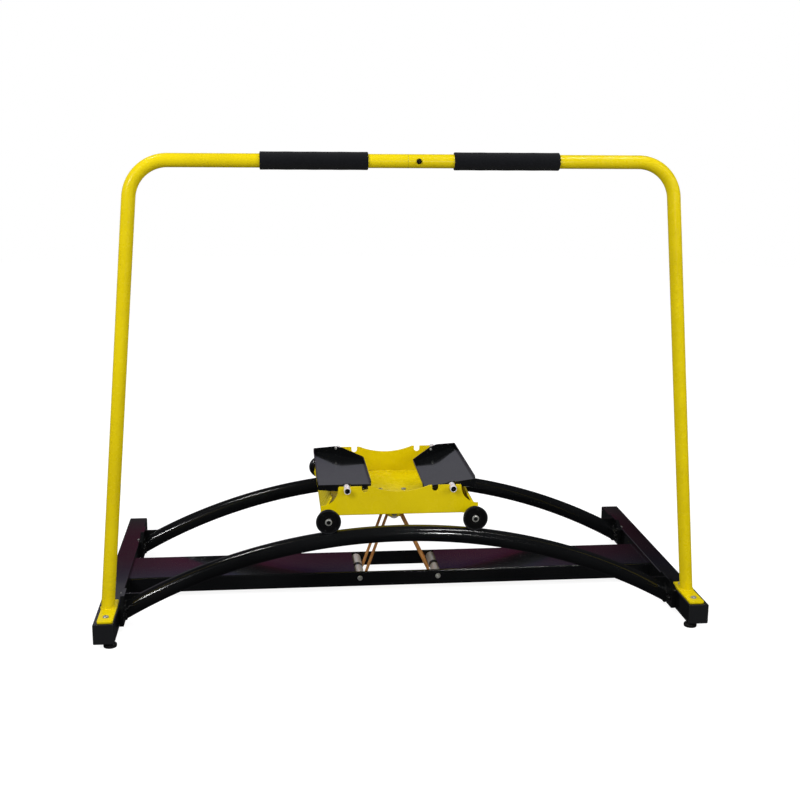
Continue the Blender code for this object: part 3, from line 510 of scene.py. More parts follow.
def domeBolt(name, centre, axis, look):
    # Button head outside the centre point, along the axis; the shank runs the other way.
    head, rim, shank, length = look["head"], look["rim"], look["shank"], look["length"]
    lift = look.get("washerThick", 0.0)
    top = lift + look["height"]
    turns = [pi / 16 * k for k in range(9)]
    corners = [(lift + rim + (look["height"] - rim) * cos(a), head * sin(a)) for a in turns]
    corners.append((lift, head, turnedEdge))
    if lift:
        corners += [(lift, look["washer"], turnedEdge), (0.0, look["washer"], 0.0002)]
    corners += [(0.0, shank), (-length, shank, 0.0006), (-length, 0.0)]
    bolt = lathePiece(name, corners, centre, axis, segments=48)
    key = hexPrism("key", centre, axis, look["socket"] * sqrt(3), top - look["depth"], top + 0.004)
    combine(bolt, key, "DIFFERENCE")
    if "nut" in look:
        nut = hexPrism("nut", centre, axis, look["nut"], -look["nutAt"] - look["nutThick"], -look["nutAt"])
        combine(bolt, softenEdges(nut, nutEdge), "UNION")
    return bolt


def fitBolt(name, centre, axis, look, slot, body, *nodes):
    return dress(domeBolt(name, centre, axis, look), slot, body, *nodes, sharp=boltSharp)


# Base: crossbars, caps, feet and channel

base = {"wall": 0.0025, "corner": 0.0030, "innerCorner": 0.0012, "capGap": 0.0003, "capPlug": 0.012}


def makeCrossbars():
    w = base["wall"]
    for side, sign in sides:
        low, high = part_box(side + "_crossbar")
        outer = boxOutline((low.x, low.z), (high.x, high.z), base["corner"], 7)
        inner = boxOutline((low.x + w, low.z + w), (high.x - w, high.z - w), base["innerCorner"], 7)
        rings = [[(p.x, y, p.y) for p in outline]
                 for outline, y in ((outer, low.y), (outer, high.y), (inner, high.y), (inner, low.y))]
        dress(ringsPiece(side + "CrossbarTube", rings, True), "black_enamel", "frame", side + "_crossbar")
        for end, facing in ends:
            makeEndCap(side, end, facing, low, high)


def makeEndCap(side, end, facing, barLow, barHigh):
    node = side + "_" + end + "_end_cap"
    low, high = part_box(node)
    face = high.y if facing > 0 else low.y
    x, z, half = (barLow.x + barHigh.x) / 2, (barLow.z + barHigh.z) / 2, (barHigh.x - barLow.x) / 2
    plug, outer, inner = half - base["wall"] - base["capGap"], base["corner"], base["innerCorner"]
    barEnd = (barHigh.y if facing > 0 else barLow.y) + facing * base["capGap"]
    rings = []
    # Half width, corner radius and depth, from the pressed-in face over its rounded rim back to the plug.
    for size, radius, y in ((half - 0.0060, 0.0015, face - facing * 0.0004), (half - 0.0035, 0.0022, face),
                            (half - 0.0012, 0.0028, face - facing * 0.0002),
                            (half - 0.0004, outer, face - facing * 0.0007),
                            (half, outer, face - facing * 0.0014), (half, outer, barEnd),
                            (plug, inner, barEnd), (plug, inner, barEnd - facing * 0.006),
                            (plug - 0.0006, inner, barEnd - facing * base["capPlug"])):
        rings.append([(p.x, y, p.y) for p in boxOutline((x - size, z - size), (x + size, z + size), radius)])
    dress(ringsPiece(side + end.capitalize() + "Cap", rings), "black_plastic", "frame", node)


levellingFoot = {"padHeight": 0.0098, "rim": 0.0160, "nutFlats": 0.0130, "nutTop": 0.0136, "stud": 0.0040,
                 "studTop": 0.034, "pitch": 0.00125}


def makeFeet():
    f = levellingFoot
    rim, top = f["rim"], f["padHeight"]
    profile = [(0.0, 0.0), (0.0, rim - 0.0006, 0.0008), (0.0024, rim, 0.0008), (0.0068, rim, 0.0022),
               (top, rim - 0.0040, 0.0010), (top - 0.0002, 0.0)]
    # Thread crests as rings, one pitch apart.
    z = f["nutTop"] - 0.0002
    thread = [(z, 0.0)]
    while z < f["studTop"]:
        thread += [(z, f["stud"] - 0.0006), (z + f["pitch"] / 2, f["stud"])]
        z += f["pitch"]
    thread.append((z, 0.0))
    for side, sign in sides:
        for end, facing in ends:
            body, name = side + "_" + end + "_levelling_foot", side + end.capitalize() + "Foot"
            centre = Vector(joints[body + "_turn"]["pos_m"])
            centre.z = 0.0
            dress(lathePiece(name + "Pad", profile, centre, zAxis), "black_rubber", body, body)
            nut = hexPrism(name + "Nut", centre, zAxis, f["nutFlats"], top - 0.0004, f["nutTop"])
            dress(softenEdges(nut, sheetEdge), "zinc_steel", body)
            stud = lathePiece(name + "Stud", thread, centre, zAxis, segments=32)
            dress(stud, "zinc_steel", body, sharp=20)


channel = {"wall": 0.003, "bend": 0.0045, "window": (-0.1065, 0.1220), "windowCorner": 0.003,
           "boltHole": 0.0035}


def makeChannel():
    low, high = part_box("base_channel")
    t = channel["wall"]
    piece = prismPiece("baseChannel", foldedSection(low, high, t, channel["bend"], 7), low.x, high.x, "X")
    start, stop = channel["window"]
    reach = high.y - t - 0.0005
    window = boxOutline((start, -reach), (stop, reach), channel["windowCorner"], 8)
    carve(piece, window, high.z - 0.012, high.z + past, "Z")
    for side, sign in sides:
        spot = Vector(joints[side + "_front_base_roller_spin"]["pos_m"])
        drill(piece, (spot.x, 0.0, spot.z), yAxis, channel["boltHole"], 0.1)
    dress(softenEdges(piece, sheetEdge), "black_enamel", "frame", "base_channel", sharp=50)


roller = {"radius": 0.0130, "bore": 0.0035, "edge": 0.0009, "rim": 0.004, "spacer": 0.0124}


def makeRollers():
    bore, r, e, thick = roller["bore"], roller["radius"], roller["edge"], roller["spacer"]
    for side, sign in sides:
        for end, facing in ends:
            body = side + "_" + end + "_base_roller"
            low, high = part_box(body)
            half = (high.y - low.y) / 2
            corners = [(-half, bore, turnedEdge), (-half, r - roller["rim"]), (-half, r, e), (half, r, e),
                       (half, r - roller["rim"]), (half, bore, turnedEdge)]
            spot = joints[body + "_spin"]["pos_m"]
            piece = lathePiece(side + end.capitalize() + "BaseRoller", corners, spot, yAxis, hollow=True)
            dress(piece, "pale_nylon", body, body)
        low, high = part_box(side + "_roller_spacer")
        middle, half = (low + high) / 2, (high.y - low.y) / 2
        corners = [(-half, bore), (-half, thick, 0.0006), (half, thick, 0.0006), (half, bore)]
        spacer = lathePiece(side + "RollerSpacer", corners, middle, yAxis, hollow=True, segments=48)
        dress(spacer, "black_plastic", "frame", side + "_roller_spacer")
        spot = (middle.x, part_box("base_channel")[0].y - 0.0002, middle.z)
        fitBolt(side + "RollerBolt", spot, -yAxis, rollerBolt, "zinc_steel", "frame", side + "_roller_bolt")


anchorPlate = {"corner": 0.003, "hole": 0.0045}


def makeAnchors():
    for side, sign in sides:
        node = side + "_band_anchor"
        low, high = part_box(node)
        outline = boxOutline((low.y, low.z), (high.y, high.z), anchorPlate["corner"])
        plate = prismPiece(side + "BandAnchor", outline, low.x, high.x, "X")
        for end, facing in ends:
            drill(plate, (low.x, facing * band["y"], band["anchorZ"]), xAxis, anchorPlate["hole"], past)
        dress(softenEdges(plate, sheetEdge), "black_enamel", "frame", node)


# Rails

rail = {"tube": 0.0210, "wall": 0.0022, "steps": 110, "segments": 56, "flangeThick": 0.010,
        "flangeHalf": 0.062, "flangeBottom": 0.015, "flangeShoulder": 0.064, "flangeTop": 0.082,
        "flangeCrest": 0.028, "flangeCorner": 0.004, "vent": 0.0160, "boltReach": 0.040, "boltHeight": 0.036,
        "ribHalf": 0.0025, "ribTop": 0.079, "ribEnd": 0.6535, "ribMiddle": (0.670, 0.0695), "ribLow": 0.058}
edgeScrew = {"head": 0.0032, "height": 0.0026, "rim": 0.0008, "socket": 0.0012, "depth": 0.0010,
             "shank": 0.0022, "length": 0.0022, "place": (0.7045, 0.207)}
arcCentre = Vector(joints["carriage_swing"]["pos_m"])
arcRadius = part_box("front_rail")[1].z - rail["tube"] - arcCentre.z


def makeRails():
    r = rail
    for end, facing in ends:
        low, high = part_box(end + "_rail")
        y, reach = (low.y + high.y) / 2, high.x - r["flangeThick"]
        widest = asin(reach / arcRadius)
        turns = [-widest + 2 * widest * i / r["steps"] for i in range(r["steps"] + 1)]
        path = [Vector((arcRadius * sin(a), y, arcCentre.z + arcRadius * cos(a))) for a in turns]
        tube, rings = tubePiece(end + "RailTube", path, r["tube"], r["wall"], r["segments"],
                                (Vector((-reach, y, 0)), xAxis), (Vector((reach, y, 0)), xAxis))
        dress(tube, "black_enamel", "frame", end + "_rail")
        for side, sign in sides:
            name, inner = side + end.capitalize(), sign * reach
            ring = rings[0] if sign < 0 else rings[-1]
            bead = weldBead(name + "RailWeld", denseLoop(ring, 336), -sign * xAxis)
            dress(bead, "black_enamel", "frame", sharp=60)
            plate = prismPiece(name + "RailFlange", flangeOutline(y), inner, inner + sign * r["flangeThick"],
                               "X")
            drill(plate, (inner, y, path[0].z), xAxis, r["vent"], 0.02)
            dress(softenEdges(plate, 0.0007), "black_enamel", "frame")
            # A rib fills the corner between the flange and the top of the tube.
            outline = [(inner + sign * 0.001, r["ribLow"]), (inner + sign * 0.001, r["ribTop"]),
                       (sign * r["ribEnd"], r["ribTop"]), (sign * r["ribMiddle"][0], r["ribMiddle"][1])]
            rib = prismPiece(name + "RailRib", outline, y - r["ribHalf"], y + r["ribHalf"], "Y")
            dress(softenEdges(rib, 0.0006), "black_enamel", "frame")
            for hand, shift in (("Near", -1), ("Far", 1)):
                spot = (inner, y + shift * r["boltReach"], r["boltHeight"])
                fitBolt(name + hand + "FlangeBolt", spot, -sign * xAxis, flangeBolt, "black_steel", "frame")
            # Small screw on the crossbar's inner top edge, beside the flange.
            x, away = edgeScrew["place"]
            spot = (sign * x, facing * away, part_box(side + "_crossbar")[1].z)
            fitBolt(name + "EdgeScrew", spot, zAxis, edgeScrew, "zinc_steel", "frame")


def flangeOutline(y):
    # The welded plate's upper edge rises to a crest over the tube.
    r, c = rail, rail["flangeCorner"]
    half = [(r["flangeHalf"], r["flangeBottom"], c), (r["flangeHalf"], r["flangeShoulder"], c),
            (r["flangeCrest"], r["flangeTop"], 0.006)]
    left = [(y - away, z, bend) for away, z, bend in half[::-1]]
    return filletCorners([(y + away, z, bend) for away, z, bend in half] + left, steps=6)


# Handle frame

handle = {"tube": 0.0160, "wall": 0.0020, "barHeight": 1.138, "cornerX": 0.630, "bend": 0.090, "bendSteps": 30,
          "segments": 48, "plateHalf": 0.0185, "plateThick": 0.005, "plateStart": -0.405, "plateEnd": -0.263,
          "y": -0.312, "gap": 0.0003, "boltX": 0.025}


def handlePath(sign, barTop, footX):
    h = handle
    flat = [(sign * footX, barTop + h["plateThick"]), (sign * h["cornerX"], h["barHeight"], h["bend"]),
            (sign * h["gap"], h["barHeight"])]
    path = [Vector((p.x, h["y"], p.y)) for p in filletCorners(flat, closed=False, steps=h["bendSteps"])]
    return [path[0].lerp(path[1], k / 12) for k in range(12)] + path[1:]


def makeHandle():
    h = handle
    for side, sign in sides:
        node = side + "_handle_half"
        barLow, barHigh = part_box(side + "_crossbar")
        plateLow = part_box(node)[0].z
        plateTop = plateLow + h["plateThick"]
        path = handlePath(sign, plateLow, abs(barLow.x + barHigh.x) / 2)
        tube, rings = tubePiece(side + "HandleTube", path, h["tube"], h["wall"], h["segments"],
                                (Vector((0, 0, plateTop)), zAxis))
        dress(tube, "yellow_enamel", "frame", node)
        bead = weldBead(side + "HandleWeld", denseLoop(rings[0], 300), zAxis, 0.85)
        dress(bead, "yellow_enamel", "frame", sharp=60)
        boltLow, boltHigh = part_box(side + "_front_plate_bolt")
        x, half = (boltLow.x + boltHigh.x) / 2, h["plateHalf"]
        outline = boxOutline((x - half, h["plateStart"]), (x + half, h["plateEnd"]), 0.005, 8)
        plate = prismPiece(side + "HandleFootPlate", outline, plateLow, plateTop, "Z")
        dress(softenEdges(plate, 0.0008), "yellow_enamel", "frame")
        for end, facing in ends:
            boltNode = side + "_" + end + "_plate_bolt"
            low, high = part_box(boltNode)
            spot = ((low.x + high.x) / 2, (low.y + high.y) / 2, plateTop)
            name = side + end.capitalize() + "PlateBolt"
            fitBolt(name, spot, zAxis, plateBolt, "zinc_steel", "frame", boltNode)
        makeGrip(side)
    low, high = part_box("handle_splice_sleeve")
    half, r = (high.x - low.x) / 2, h["tube"] - h["wall"] - play
    corners = [(-half, r - 0.002), (-half, r, 0.0005), (half, r, 0.0005), (half, r - 0.002)]
    sleeve = lathePiece("handleSpliceSleeve", corners, (low + high) / 2, xAxis, hollow=True, segments=48)
    dress(sleeve, "zinc_steel", "frame", "handle_splice_sleeve")
    spot = (h["boltX"], h["y"] - h["tube"], h["barHeight"])
    fitBolt("handleSpliceBolt", spot, -yAxis, spliceBolt, "black_steel", "frame", "handle_splice_bolt")


grip = {"radius": 0.0207, "bore": 0.0161, "rim": 0.0026, "swell": 0.00035}


def makeGrip(side):
    # A pushed-on foam sleeve: softly rounded ends and a very slight swell along it.
    node = side + "_foam_grip"
    low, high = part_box(node)
    half, r = (high.x - low.x) / 2, grip["radius"]
    corners = [(-half, grip["bore"]), (-half, r, grip["rim"])]
    corners += [(half * (k / 6 - 1), r - grip["swell"] * (0.5 - 0.5 * cos(k * pi / 1.5)))
                for k in range(1, 12)]
    corners += [(half, r, grip["rim"]), (half, grip["bore"])]
    foam = lathePiece(side + "FoamGrip", corners, (low + high) / 2, xAxis, hollow=True, segments=72, steps=8)
    dress(foam, "foam", "frame", node, sharp=60)


# Carriage

tray = {"y": 0.202, "sheet": 0.003, "bottom": 0.2515, "top": 0.3270, "dip": 0.3120, "dipHalf": 0.075,
        "fold": 0.005, "sweep": 0.0440, "sweepZ": 0.3215, "endX": 0.2013, "lug": 0.0190, "pivotX": 0.135,
        "pivotZ": 0.319, "spareX": 0.0896, "notch": 0.0078, "wallFoot": (0.2006, 0.2600),
        "wallHead": (0.1766, 0.2990), "floorEnd": 0.1610, "floorY": 0.1780, "hangerBolt": (0.032, 0.010),
        "hangerHole": 0.0043, "nutBore": 0.0092, "axleBore": 0.0053, "tongueHalf": 0.1985,
        "lipFillet": 0.0010, "topFillet": 0.004, "lugRise": 0.014}


def trayPlateOutline(wheelSpot):
    # Right half from the middle of the bottom edge round to the middle of the top edge, then mirrored.
    t, lip, fillet = tray, tray["lipFillet"], tray["topFillet"]
    half = [Vector((0.0, t["bottom"] + t["fold"])), Vector((t["floorEnd"], t["bottom"] + t["fold"])),
            Vector((t["floorEnd"], t["bottom"]))]
    meeting = degrees(asin((wheelSpot.z - t["bottom"]) / t["lug"]))
    half += arcPoints((wheelSpot.x, wheelSpot.z), t["lug"], 180 + meeting, 380, 26)
    half.append(Vector((t["endX"], wheelSpot.z + t["lugRise"])))
    half += arcPoints((t["endX"], t["sweepZ"]), t["sweep"], 270, 180, 26)
    half += arcPoints((t["endX"] - t["sweep"] - fillet, t["top"] - fillet), fillet, 0, 90, 6)
    for notchX in (t["pivotX"], t["spareX"]):
        mouth = t["notch"] + lip
        half.append(Vector((notchX + mouth, t["top"])))
        half += arcPoints((notchX + mouth, t["top"] - lip), lip, 90, 180, 3)[1:]
        half += arcPoints((notchX, t["pivotZ"]), t["notch"], 0, -180, 18)
        half += arcPoints((notchX - mouth, t["top"] - lip), lip, 0, 90, 3)
    drop = t["top"] - t["dip"]
    dipRadius = (t["dipHalf"] ** 2 + drop ** 2) / (2 * drop)
    widest = asin(t["dipHalf"] / dipRadius)
    for i in range(15):
        a = widest * (1 - i / 14)
        half.append(Vector((dipRadius * sin(a), t["dip"] + dipRadius * (1 - cos(a)))))
    return half + [Vector((-p.x, p.y)) for p in half[-2:0:-1]]


def makeTray():
    t = tray
    wheelSpot = Vector(joints["front_right_wheel_spin"]["pos_m"])
    y, s, b, r = t["y"], t["sheet"], t["bottom"], t["fold"]
    # The floor and the two long plates are one folded sheet.
    top = b + r + 0.001
    fold = filletCorners([(-y, top), (-y, b, r), (y, b, r), (y, top), (y - s, top), (y - s, b + s, r - s),
                          (-y + s, b + s, r - s), (-y + s, top)], steps=6)
    piece = prismPiece("carriageTray", fold, -t["floorEnd"], t["floorEnd"], "X")
    for facing in (-1, 1):
        near, far = sorted((facing * y, facing * (y - s)))
        carve(piece, trayPlateOutline(wheelSpot), near, far, "Y", "UNION")
    tongue = boxOutline((-t["tongueHalf"], -t["floorY"]), (t["tongueHalf"], t["floorY"]))
    carve(piece, tongue, b, b + s, "Z", "UNION")
    for side, sign in sides:
        # An end wall leans inwards and ends in a small rim: distance from the middle, height, fillet.
        (footX, footZ), (headX, headZ) = t["wallFoot"], t["wallHead"]
        wall = [(footX, b, 0.003), (footX, footZ, 0.012), (headX, headZ, 0.0008),
                (headX - 0.0033, headZ - 0.0010, 0.0008), (footX - 0.0042, b + 0.0035, 0.004),
                (footX - 0.0052, b, 0.0)]
        wall = filletCorners([(sign * x, z, bend) for x, z, bend in wall])
        carve(piece, wall, -y + s - 0.001, y - s + 0.001, "Y", "UNION")
    for side, sign in sides:
        for end, facing in ends:
            x, z = sign * wheelSpot.x, wheelSpot.z
            drill(piece, (x, facing * (y - s - 0.006), z), yAxis, t["nutBore"], 0.006)
            drill(piece, (x, facing * y, z), yAxis, t["axleBore"], 0.02)
        boltX, boltY = t["hangerBolt"]
        drill(piece, (sign * boltX, boltY, b), zAxis, t["hangerHole"], 0.01, 24)
    dress(softenEdges(piece, 0.0005, 2, 32), "yellow_enamel", "carriage", "carriage_tray", sharp=38)


hanger = {"sheet": 0.003, "bend": 0.0045, "cheekHalf": 0.016, "strapHalf": 0.046}
pulleyPin = {"radius": 0.0040, "head": 0.0068, "face": 0.0062, "headThick": 0.003}


def makeHanger():
    low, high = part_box("band_hanger")
    section = foldedSection(low, high, hanger["sheet"], hanger["bend"], 6)
    strap = prismPiece("bandHanger", section, low.x, high.x, "X")
    boltX, boltY = tray["hangerBolt"]
    for side, sign in sides:
        # Outside the cheeks only the flange is left.
        near, far = sorted((sign * hanger["cheekHalf"], sign * (hanger["strapHalf"] + 0.008)))
        outline = boxOutline((near, low.z - past), (far, high.z - 0.007), 0.004)
        carve(strap, outline, low.y - past, high.y + past, "Y")
        drill(strap, (sign * boltX, boltY, high.z), zAxis, tray["hangerHole"], 0.01, 24)
    pinSpot = Vector(joints["front_band_pulley_spin"]["pos_m"])
    pinSpot.y = 0.0
    drill(strap, pinSpot, yAxis, tray["hangerHole"], 0.08, 24)
    dress(softenEdges(strap, 0.0005), "yellow_enamel", "carriage", "band_hanger", sharp=40)
    for side, sign in sides:
        spot = (sign * boltX, boltY, tray["bottom"] + tray["sheet"])
        fitBolt(side + "HangerBolt", spot, zAxis, hangerBolt, "zinc_steel", "carriage", side + "_hanger_bolt")
    low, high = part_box("band_pulley_pin")
    half = (high.y - low.y) / 2
    under = pulleyPin["headThick"] - half
    corners = [(-half, 0.0), (-half, pulleyPin["face"], 0.0008), (under, pulleyPin["head"], sheetEdge),
               (under, pulleyPin["radius"])]
    corners += [(-corner[0], *corner[1:]) for corner in corners[::-1]]
    pin = lathePiece("bandPulleyPin", corners, pinSpot, yAxis, segments=40)
    dress(pin, "zinc_steel", "carriage", "band_pulley_pin")


bandPulley = {"radius": 0.0145, "bore": 0.0043, "groove": 0.0050, "root": 0.0100}


def makePulleys():
    bore, r, g, root = bandPulley["bore"], bandPulley["radius"], bandPulley["groove"], bandPulley["root"]
    for end, facing in ends:
        node = end + "_band_pulley"
        low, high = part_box(node)
        centre = Vector(joints[node + "_spin"]["pos_m"])
        a, b = low.y - centre.y, high.y - centre.y
        corners = [(a, bore), (a, r - 0.003, 0.0004), (a, r, 0.0010), (-g - 0.0006, r, 0.0005)]
        corners += [(-g * cos(pi * k / 14), root + g * (1 - sin(pi * k / 14))) for k in range(15)]
        corners += [(g + 0.0006, r, 0.0005), (b, r, 0.0010), (b, r - 0.003, 0.0004), (b, bore)]
        dress(lathePiece(end + "BandPulley", corners, centre, yAxis, hollow=True), "pale_nylon", node, node)


wheel = {"radius": 0.0315, "inner": 0.0235, "tread": 0.0280, "treadStart": -0.0040, "treadEnd": 0.0100,
         "half": 0.0130, "bore": 0.0053, "edge": 0.0018, "grooveAt": 0.0232, "grooveWide": 0.0020,
         "grooveDeep": 0.0009, "hub": 0.0125, "hubDeep": 0.0010}
axle = {"head": 0.0087, "rim": 0.0024, "dome": 0.0046, "socket": 0.0053, "depth": 0.0043, "journal": 0.0050,
        "collar": 0.0085, "nut": 0.0130, "nutThick": 0.0052}


def makeWheels():
    # Rings from the tray's side outwards: plain shoulder, hollow tread, and a flange on the outer side only.
    w = wheel
    half, h = w["half"], w["half"] - w["hubDeep"]
    hollowRadius = rail["tube"] + play
    groove = [(half - deep, w["grooveAt"] + w["grooveWide"] * part, turnedEdge)
              for deep, part in ((0.0, 0.5), (w["grooveDeep"], 0.25), (w["grooveDeep"], -0.25), (0.0, -0.5))]
    hub = [(half, w["hub"] + 0.0012, 0.0005), (h, w["hub"], 0.0006), (h, w["bore"] + 0.001), (half, w["bore"])]
    profile = [(-corner[0], *corner[1:]) for corner in hub[::-1]]
    profile += [(-half, w["inner"], 0.0010), (w["treadStart"] - 0.002, w["inner"] + 0.0015, 0.0006)]
    for k in range(11):
        d = w["treadStart"] + (w["treadEnd"] - w["treadStart"]) * k / 10
        profile.append((d, w["tread"] + hollowRadius - sqrt(hollowRadius ** 2 - d ** 2)))
    profile += [(w["treadEnd"] + 0.001, w["radius"], 0.0005), (half, w["radius"], w["edge"])] + groove + hub
    for end, facing in ends:
        for side, sign in sides:
            body = end + "_" + side + "_wheel"
            centre = Vector(joints[body + "_spin"]["pos_m"])
            piece = lathePiece(end + side.capitalize() + "Wheel", profile, centre, facing * yAxis, hollow=True,
                               segments=80)
            dress(piece, "polyurethane", body, body)
            makeAxle(end, facing, side, centre)


def makeAxle(end, facing, side, wheelCentre):
    # Shoulder bolt, drawn from the tray outwards: nut inside, collar, journal through the wheel, button head.
    a, start, name = axle, tray["y"] - tray["sheet"], end + side.capitalize()
    nutEnd, seat = start - a["nutThick"], tray["y"] + 0.0002
    gapStart, head = abs(wheelCentre.y) - wheel["half"] - play, abs(wheelCentre.y) + wheel["half"] + play
    corners = [(nutEnd - 0.0008, 0.0), (nutEnd - 0.0008, 0.0046, 0.0008), (start, a["journal"]),
               (seat, a["journal"]), (seat, a["collar"], 0.0005), (gapStart, a["collar"], 0.0005),
               (gapStart, a["journal"]), (head, a["journal"]), (head, a["head"], turnedEdge)]
    for k in range(9):
        turn = pi / 2 * k / 8
        corners.append((head + a["rim"] + (a["dome"] - a["rim"]) * sin(turn), a["head"] * cos(turn) ** 0.8))
    direction, origin = facing * yAxis, Vector((wheelCentre.x, 0.0, wheelCentre.z))
    piece = lathePiece(name + "WheelAxle", corners, origin, direction, segments=56)
    top = head + a["dome"]
    bottom = top - a["depth"]
    drill(piece, origin + direction * (bottom + 0.01), yAxis, a["socket"], 0.01, 40)
    nut = hexPrism("nut", origin, direction, a["nut"], nutEnd, start - 0.0001)
    combine(piece, softenEdges(nut, nutEdge), "UNION")
    dress(piece, "zinc_steel", "carriage", end + "_" + side + "_wheel_axle", sharp=boltSharp)
    # A black cup in the bore paints the shade inside the socket, so that it reads dark.
    shadeLining = shadeCupPiece(name + "AxleBoreShade", bottom + 0.0002, top - 0.0008, a["socket"] - 0.0001, 0.0004, 0.0001,
                      origin, direction)
    dress(shadeLining, "black_steel", "carriage")


footplate = {"half": 0.0685, "taper": 0.006, "shift": -0.006, "sheet": 0.0025, "top": 0.3285, "near": -0.186,
             "heelInner": 0.046, "heelOuter": 0.150, "heelLow": 0.010, "heelPeak": 0.026, "heelFlat": 0.010,
             "heelFillet": 0.0030, "lip": 0.009, "lipRound": 0.0009, "lipGap": 0.006, "bend": 0.0030,
             "cutHalf": 0.0098, "cutEnd": -0.178, "flangeShallow": 0.013, "flangeDeep": 0.019, "tab": 0.0095,
             "rearTab": 0.0725, "rodHole": 0.0044, "slotCorner": 0.0022, "tilt": {"left": 0.0, "right": -7.9}}
heelBolt = {"head": 0.0040, "height": 0.0030, "rim": 0.0008, "socket": 0.0016, "depth": 0.0014,
            "shank": 0.0026, "length": 0.0060, "place": {"left": (0.147, 0.3500), "right": (0.119, 0.3475)}}


def plateEdges(sign, pivotX, y):
    # Inner and outer edge, measured from the middle of the carriage outwards.
    f = footplate
    middle, half = pivotX + sign * f["shift"], f["half"] - f["taper"] * (y - f["near"])
    return middle - half, middle + half


def makeFootplates():
    f = footplate
    t, top, low, near, cutHalf = f["sheet"], f["top"], f["top"] - f["sheet"], f["near"], f["cutHalf"]
    lip, soft, bend = top + f["lip"], f["lipRound"], f["bend"]
    for side, sign in sides:
        body = side + "_footplate"
        pivot = Vector(joints[body + "_tilt"]["pos_m"])
        px = abs(pivot.x)
        innerHeel, outerHeel = plateEdges(sign, px, f["heelInner"])[0], plateEdges(sign, px, f["heelOuter"])[1]
        slope = (f["heelOuter"] - f["heelInner"]) / (outerHeel - innerHeel)
        # Sheet with both long edges turned up, folded in one piece and a little narrower towards the heel.
        rings = []
        for y in (near, f["heelOuter"] + past):
            inner, outer = plateEdges(sign, px, y)
            section = [(inner, lip, soft), (inner, low, bend), (outer, low, bend), (outer, lip, soft),
                       (outer - t, lip, soft), (outer - t, top, bend - t), (inner + t, top, bend - t),
                       (inner + t, lip, soft)]
            rings.append([(sign * p.x, y, p.y) for p in filletCorners(section, steps=6)])
        plate = ringsPiece(side + "FootplateSheet", rings)
        behind = [(innerHeel - past, f["heelInner"] - past * slope),
                  (outerHeel + past, f["heelOuter"] + past * slope), (outerHeel + past, 0.3),
                  (innerHeel - past, 0.3)]
        carve(plate, [(sign * x, y) for x, y in behind], low - past, top + 0.05, "Z")
        # The lips stop a little before the heel wall.
        for edgeX, heelY in ((innerHeel, f["heelInner"]), (outerHeel, f["heelOuter"])):
            a, b = sorted((sign * (edgeX - 0.006), sign * (edgeX + 0.006)))
            gap = boxOutline((a, heelY - f["lipGap"]), (b, heelY + 0.04))
            carve(plate, gap, top + 0.0006, top + 0.03, "Z")
        middle = sign * px
        slot = boxOutline((middle - cutHalf, near - past), (middle + cutHalf, f["cutEnd"]), f["slotCorner"])
        carve(plate, slot, low - past, top + past, "Z")
        # The near edge turns down on both sides of the slot, deeper towards it.
        inner, outer = plateEdges(sign, px, near)
        for cornerX, slotX in ((inner + 0.0006, px - cutHalf), (outer - 0.0006, px + cutHalf)):
            shallow, deep = top - f["flangeShallow"], top - f["flangeDeep"]
            edge = filletCorners([(sign * cornerX, low + 0.0006), (sign * cornerX, shallow, 0.0015),
                                  (sign * slotX, deep, 0.0015), (sign * slotX, low + 0.0006)])
            carve(plate, edge, near, near + t, "Y", "UNION")
        combine(plate, heelWall(sign, innerHeel + play, outerHeel - play, low, slope), "UNION")
        for tabY in (f["cutEnd"], f["rearTab"]):
            tab = arcPoints((middle, pivot.z), f["tab"], 180, 360, 16)
            tab += [(middle + f["tab"], low + 0.0005), (middle - f["tab"], low + 0.0005)]
            carve(plate, tab, tabY, tabY + t, "Y", "UNION")
        drill(plate, (middle, -0.05, pivot.z), yAxis, f["rodHole"], 0.15, 28)
        softenEdges(plate, 0.0007, 2, 38)
        tilt = (Matrix.Translation(pivot) @ Matrix.Rotation(radians(f["tilt"][side]), 4, "Y")
                @ Matrix.Translation(-pivot))
        plate.data.transform(tilt)
        dress(plate, "black_enamel", body, body, sharp=40)
        # Button screw through the heel wall, for the heel's strap.
        boltX, boltZ = heelBolt["place"][side]
        boltY = f["heelInner"] + slope * (boltX - innerHeel) - t * sqrt(1 + slope ** 2)
        bolt = domeBolt(side + "HeelBolt", (sign * boltX, boltY, boltZ), (sign * slope, -1.0, 0.0), heelBolt)
        bolt.data.transform(bolt.matrix_world.inverted() @ tilt @ bolt.matrix_world)
        dress(bolt, "zinc_steel", body, sharp=boltSharp)
        makePivot(side, pivot)


def heelWall(sign, innerX, outerX, low, slope):
    # A gabled wall along the skewed rear edge, with a small fillet where it stands on the sheet.
    f = footplate
    skew, middle = sqrt(1 + slope ** 2), (innerX + outerX) / 2
    thick, top, r = f["sheet"] * skew, f["top"], f["heelFillet"]

    def wallPoint(x, back, z):
        return Vector((sign * x, f["heelInner"] + slope * (x - innerX) - back, z))

    shoulder, peak = top + f["heelLow"], top + f["heelPeak"]
    flat = filletCorners([(innerX, low), (innerX, shoulder, 0.003), (middle - f["heelFlat"], peak, 0.006),
                          (middle + f["heelFlat"], peak, 0.006), (outerX, shoulder, 0.003), (outerX, low)],
                         steps=6)
    wall = ringsPiece("heel", [[wallPoint(p.x, back, p.y) for p in flat] for back in (0.0, thick)])
    # The fillet's section: distance from the wall, height.
    foot = [(-0.0008, top - 0.0008), (r, top - 0.0008), (r, top)]
    foot += [(r - r * sin(pi / 2 * k / 6), top + r - r * cos(pi / 2 * k / 6)) for k in range(1, 7)]
    foot += [(-0.0008, top + r)]
    fillet = ringsPiece("fillet", [[wallPoint(x, thick + back * skew, z) for back, z in foot]
                                   for x in (innerX + 0.0035, outerX - 0.0035)])
    return combine(wall, fillet, "UNION")


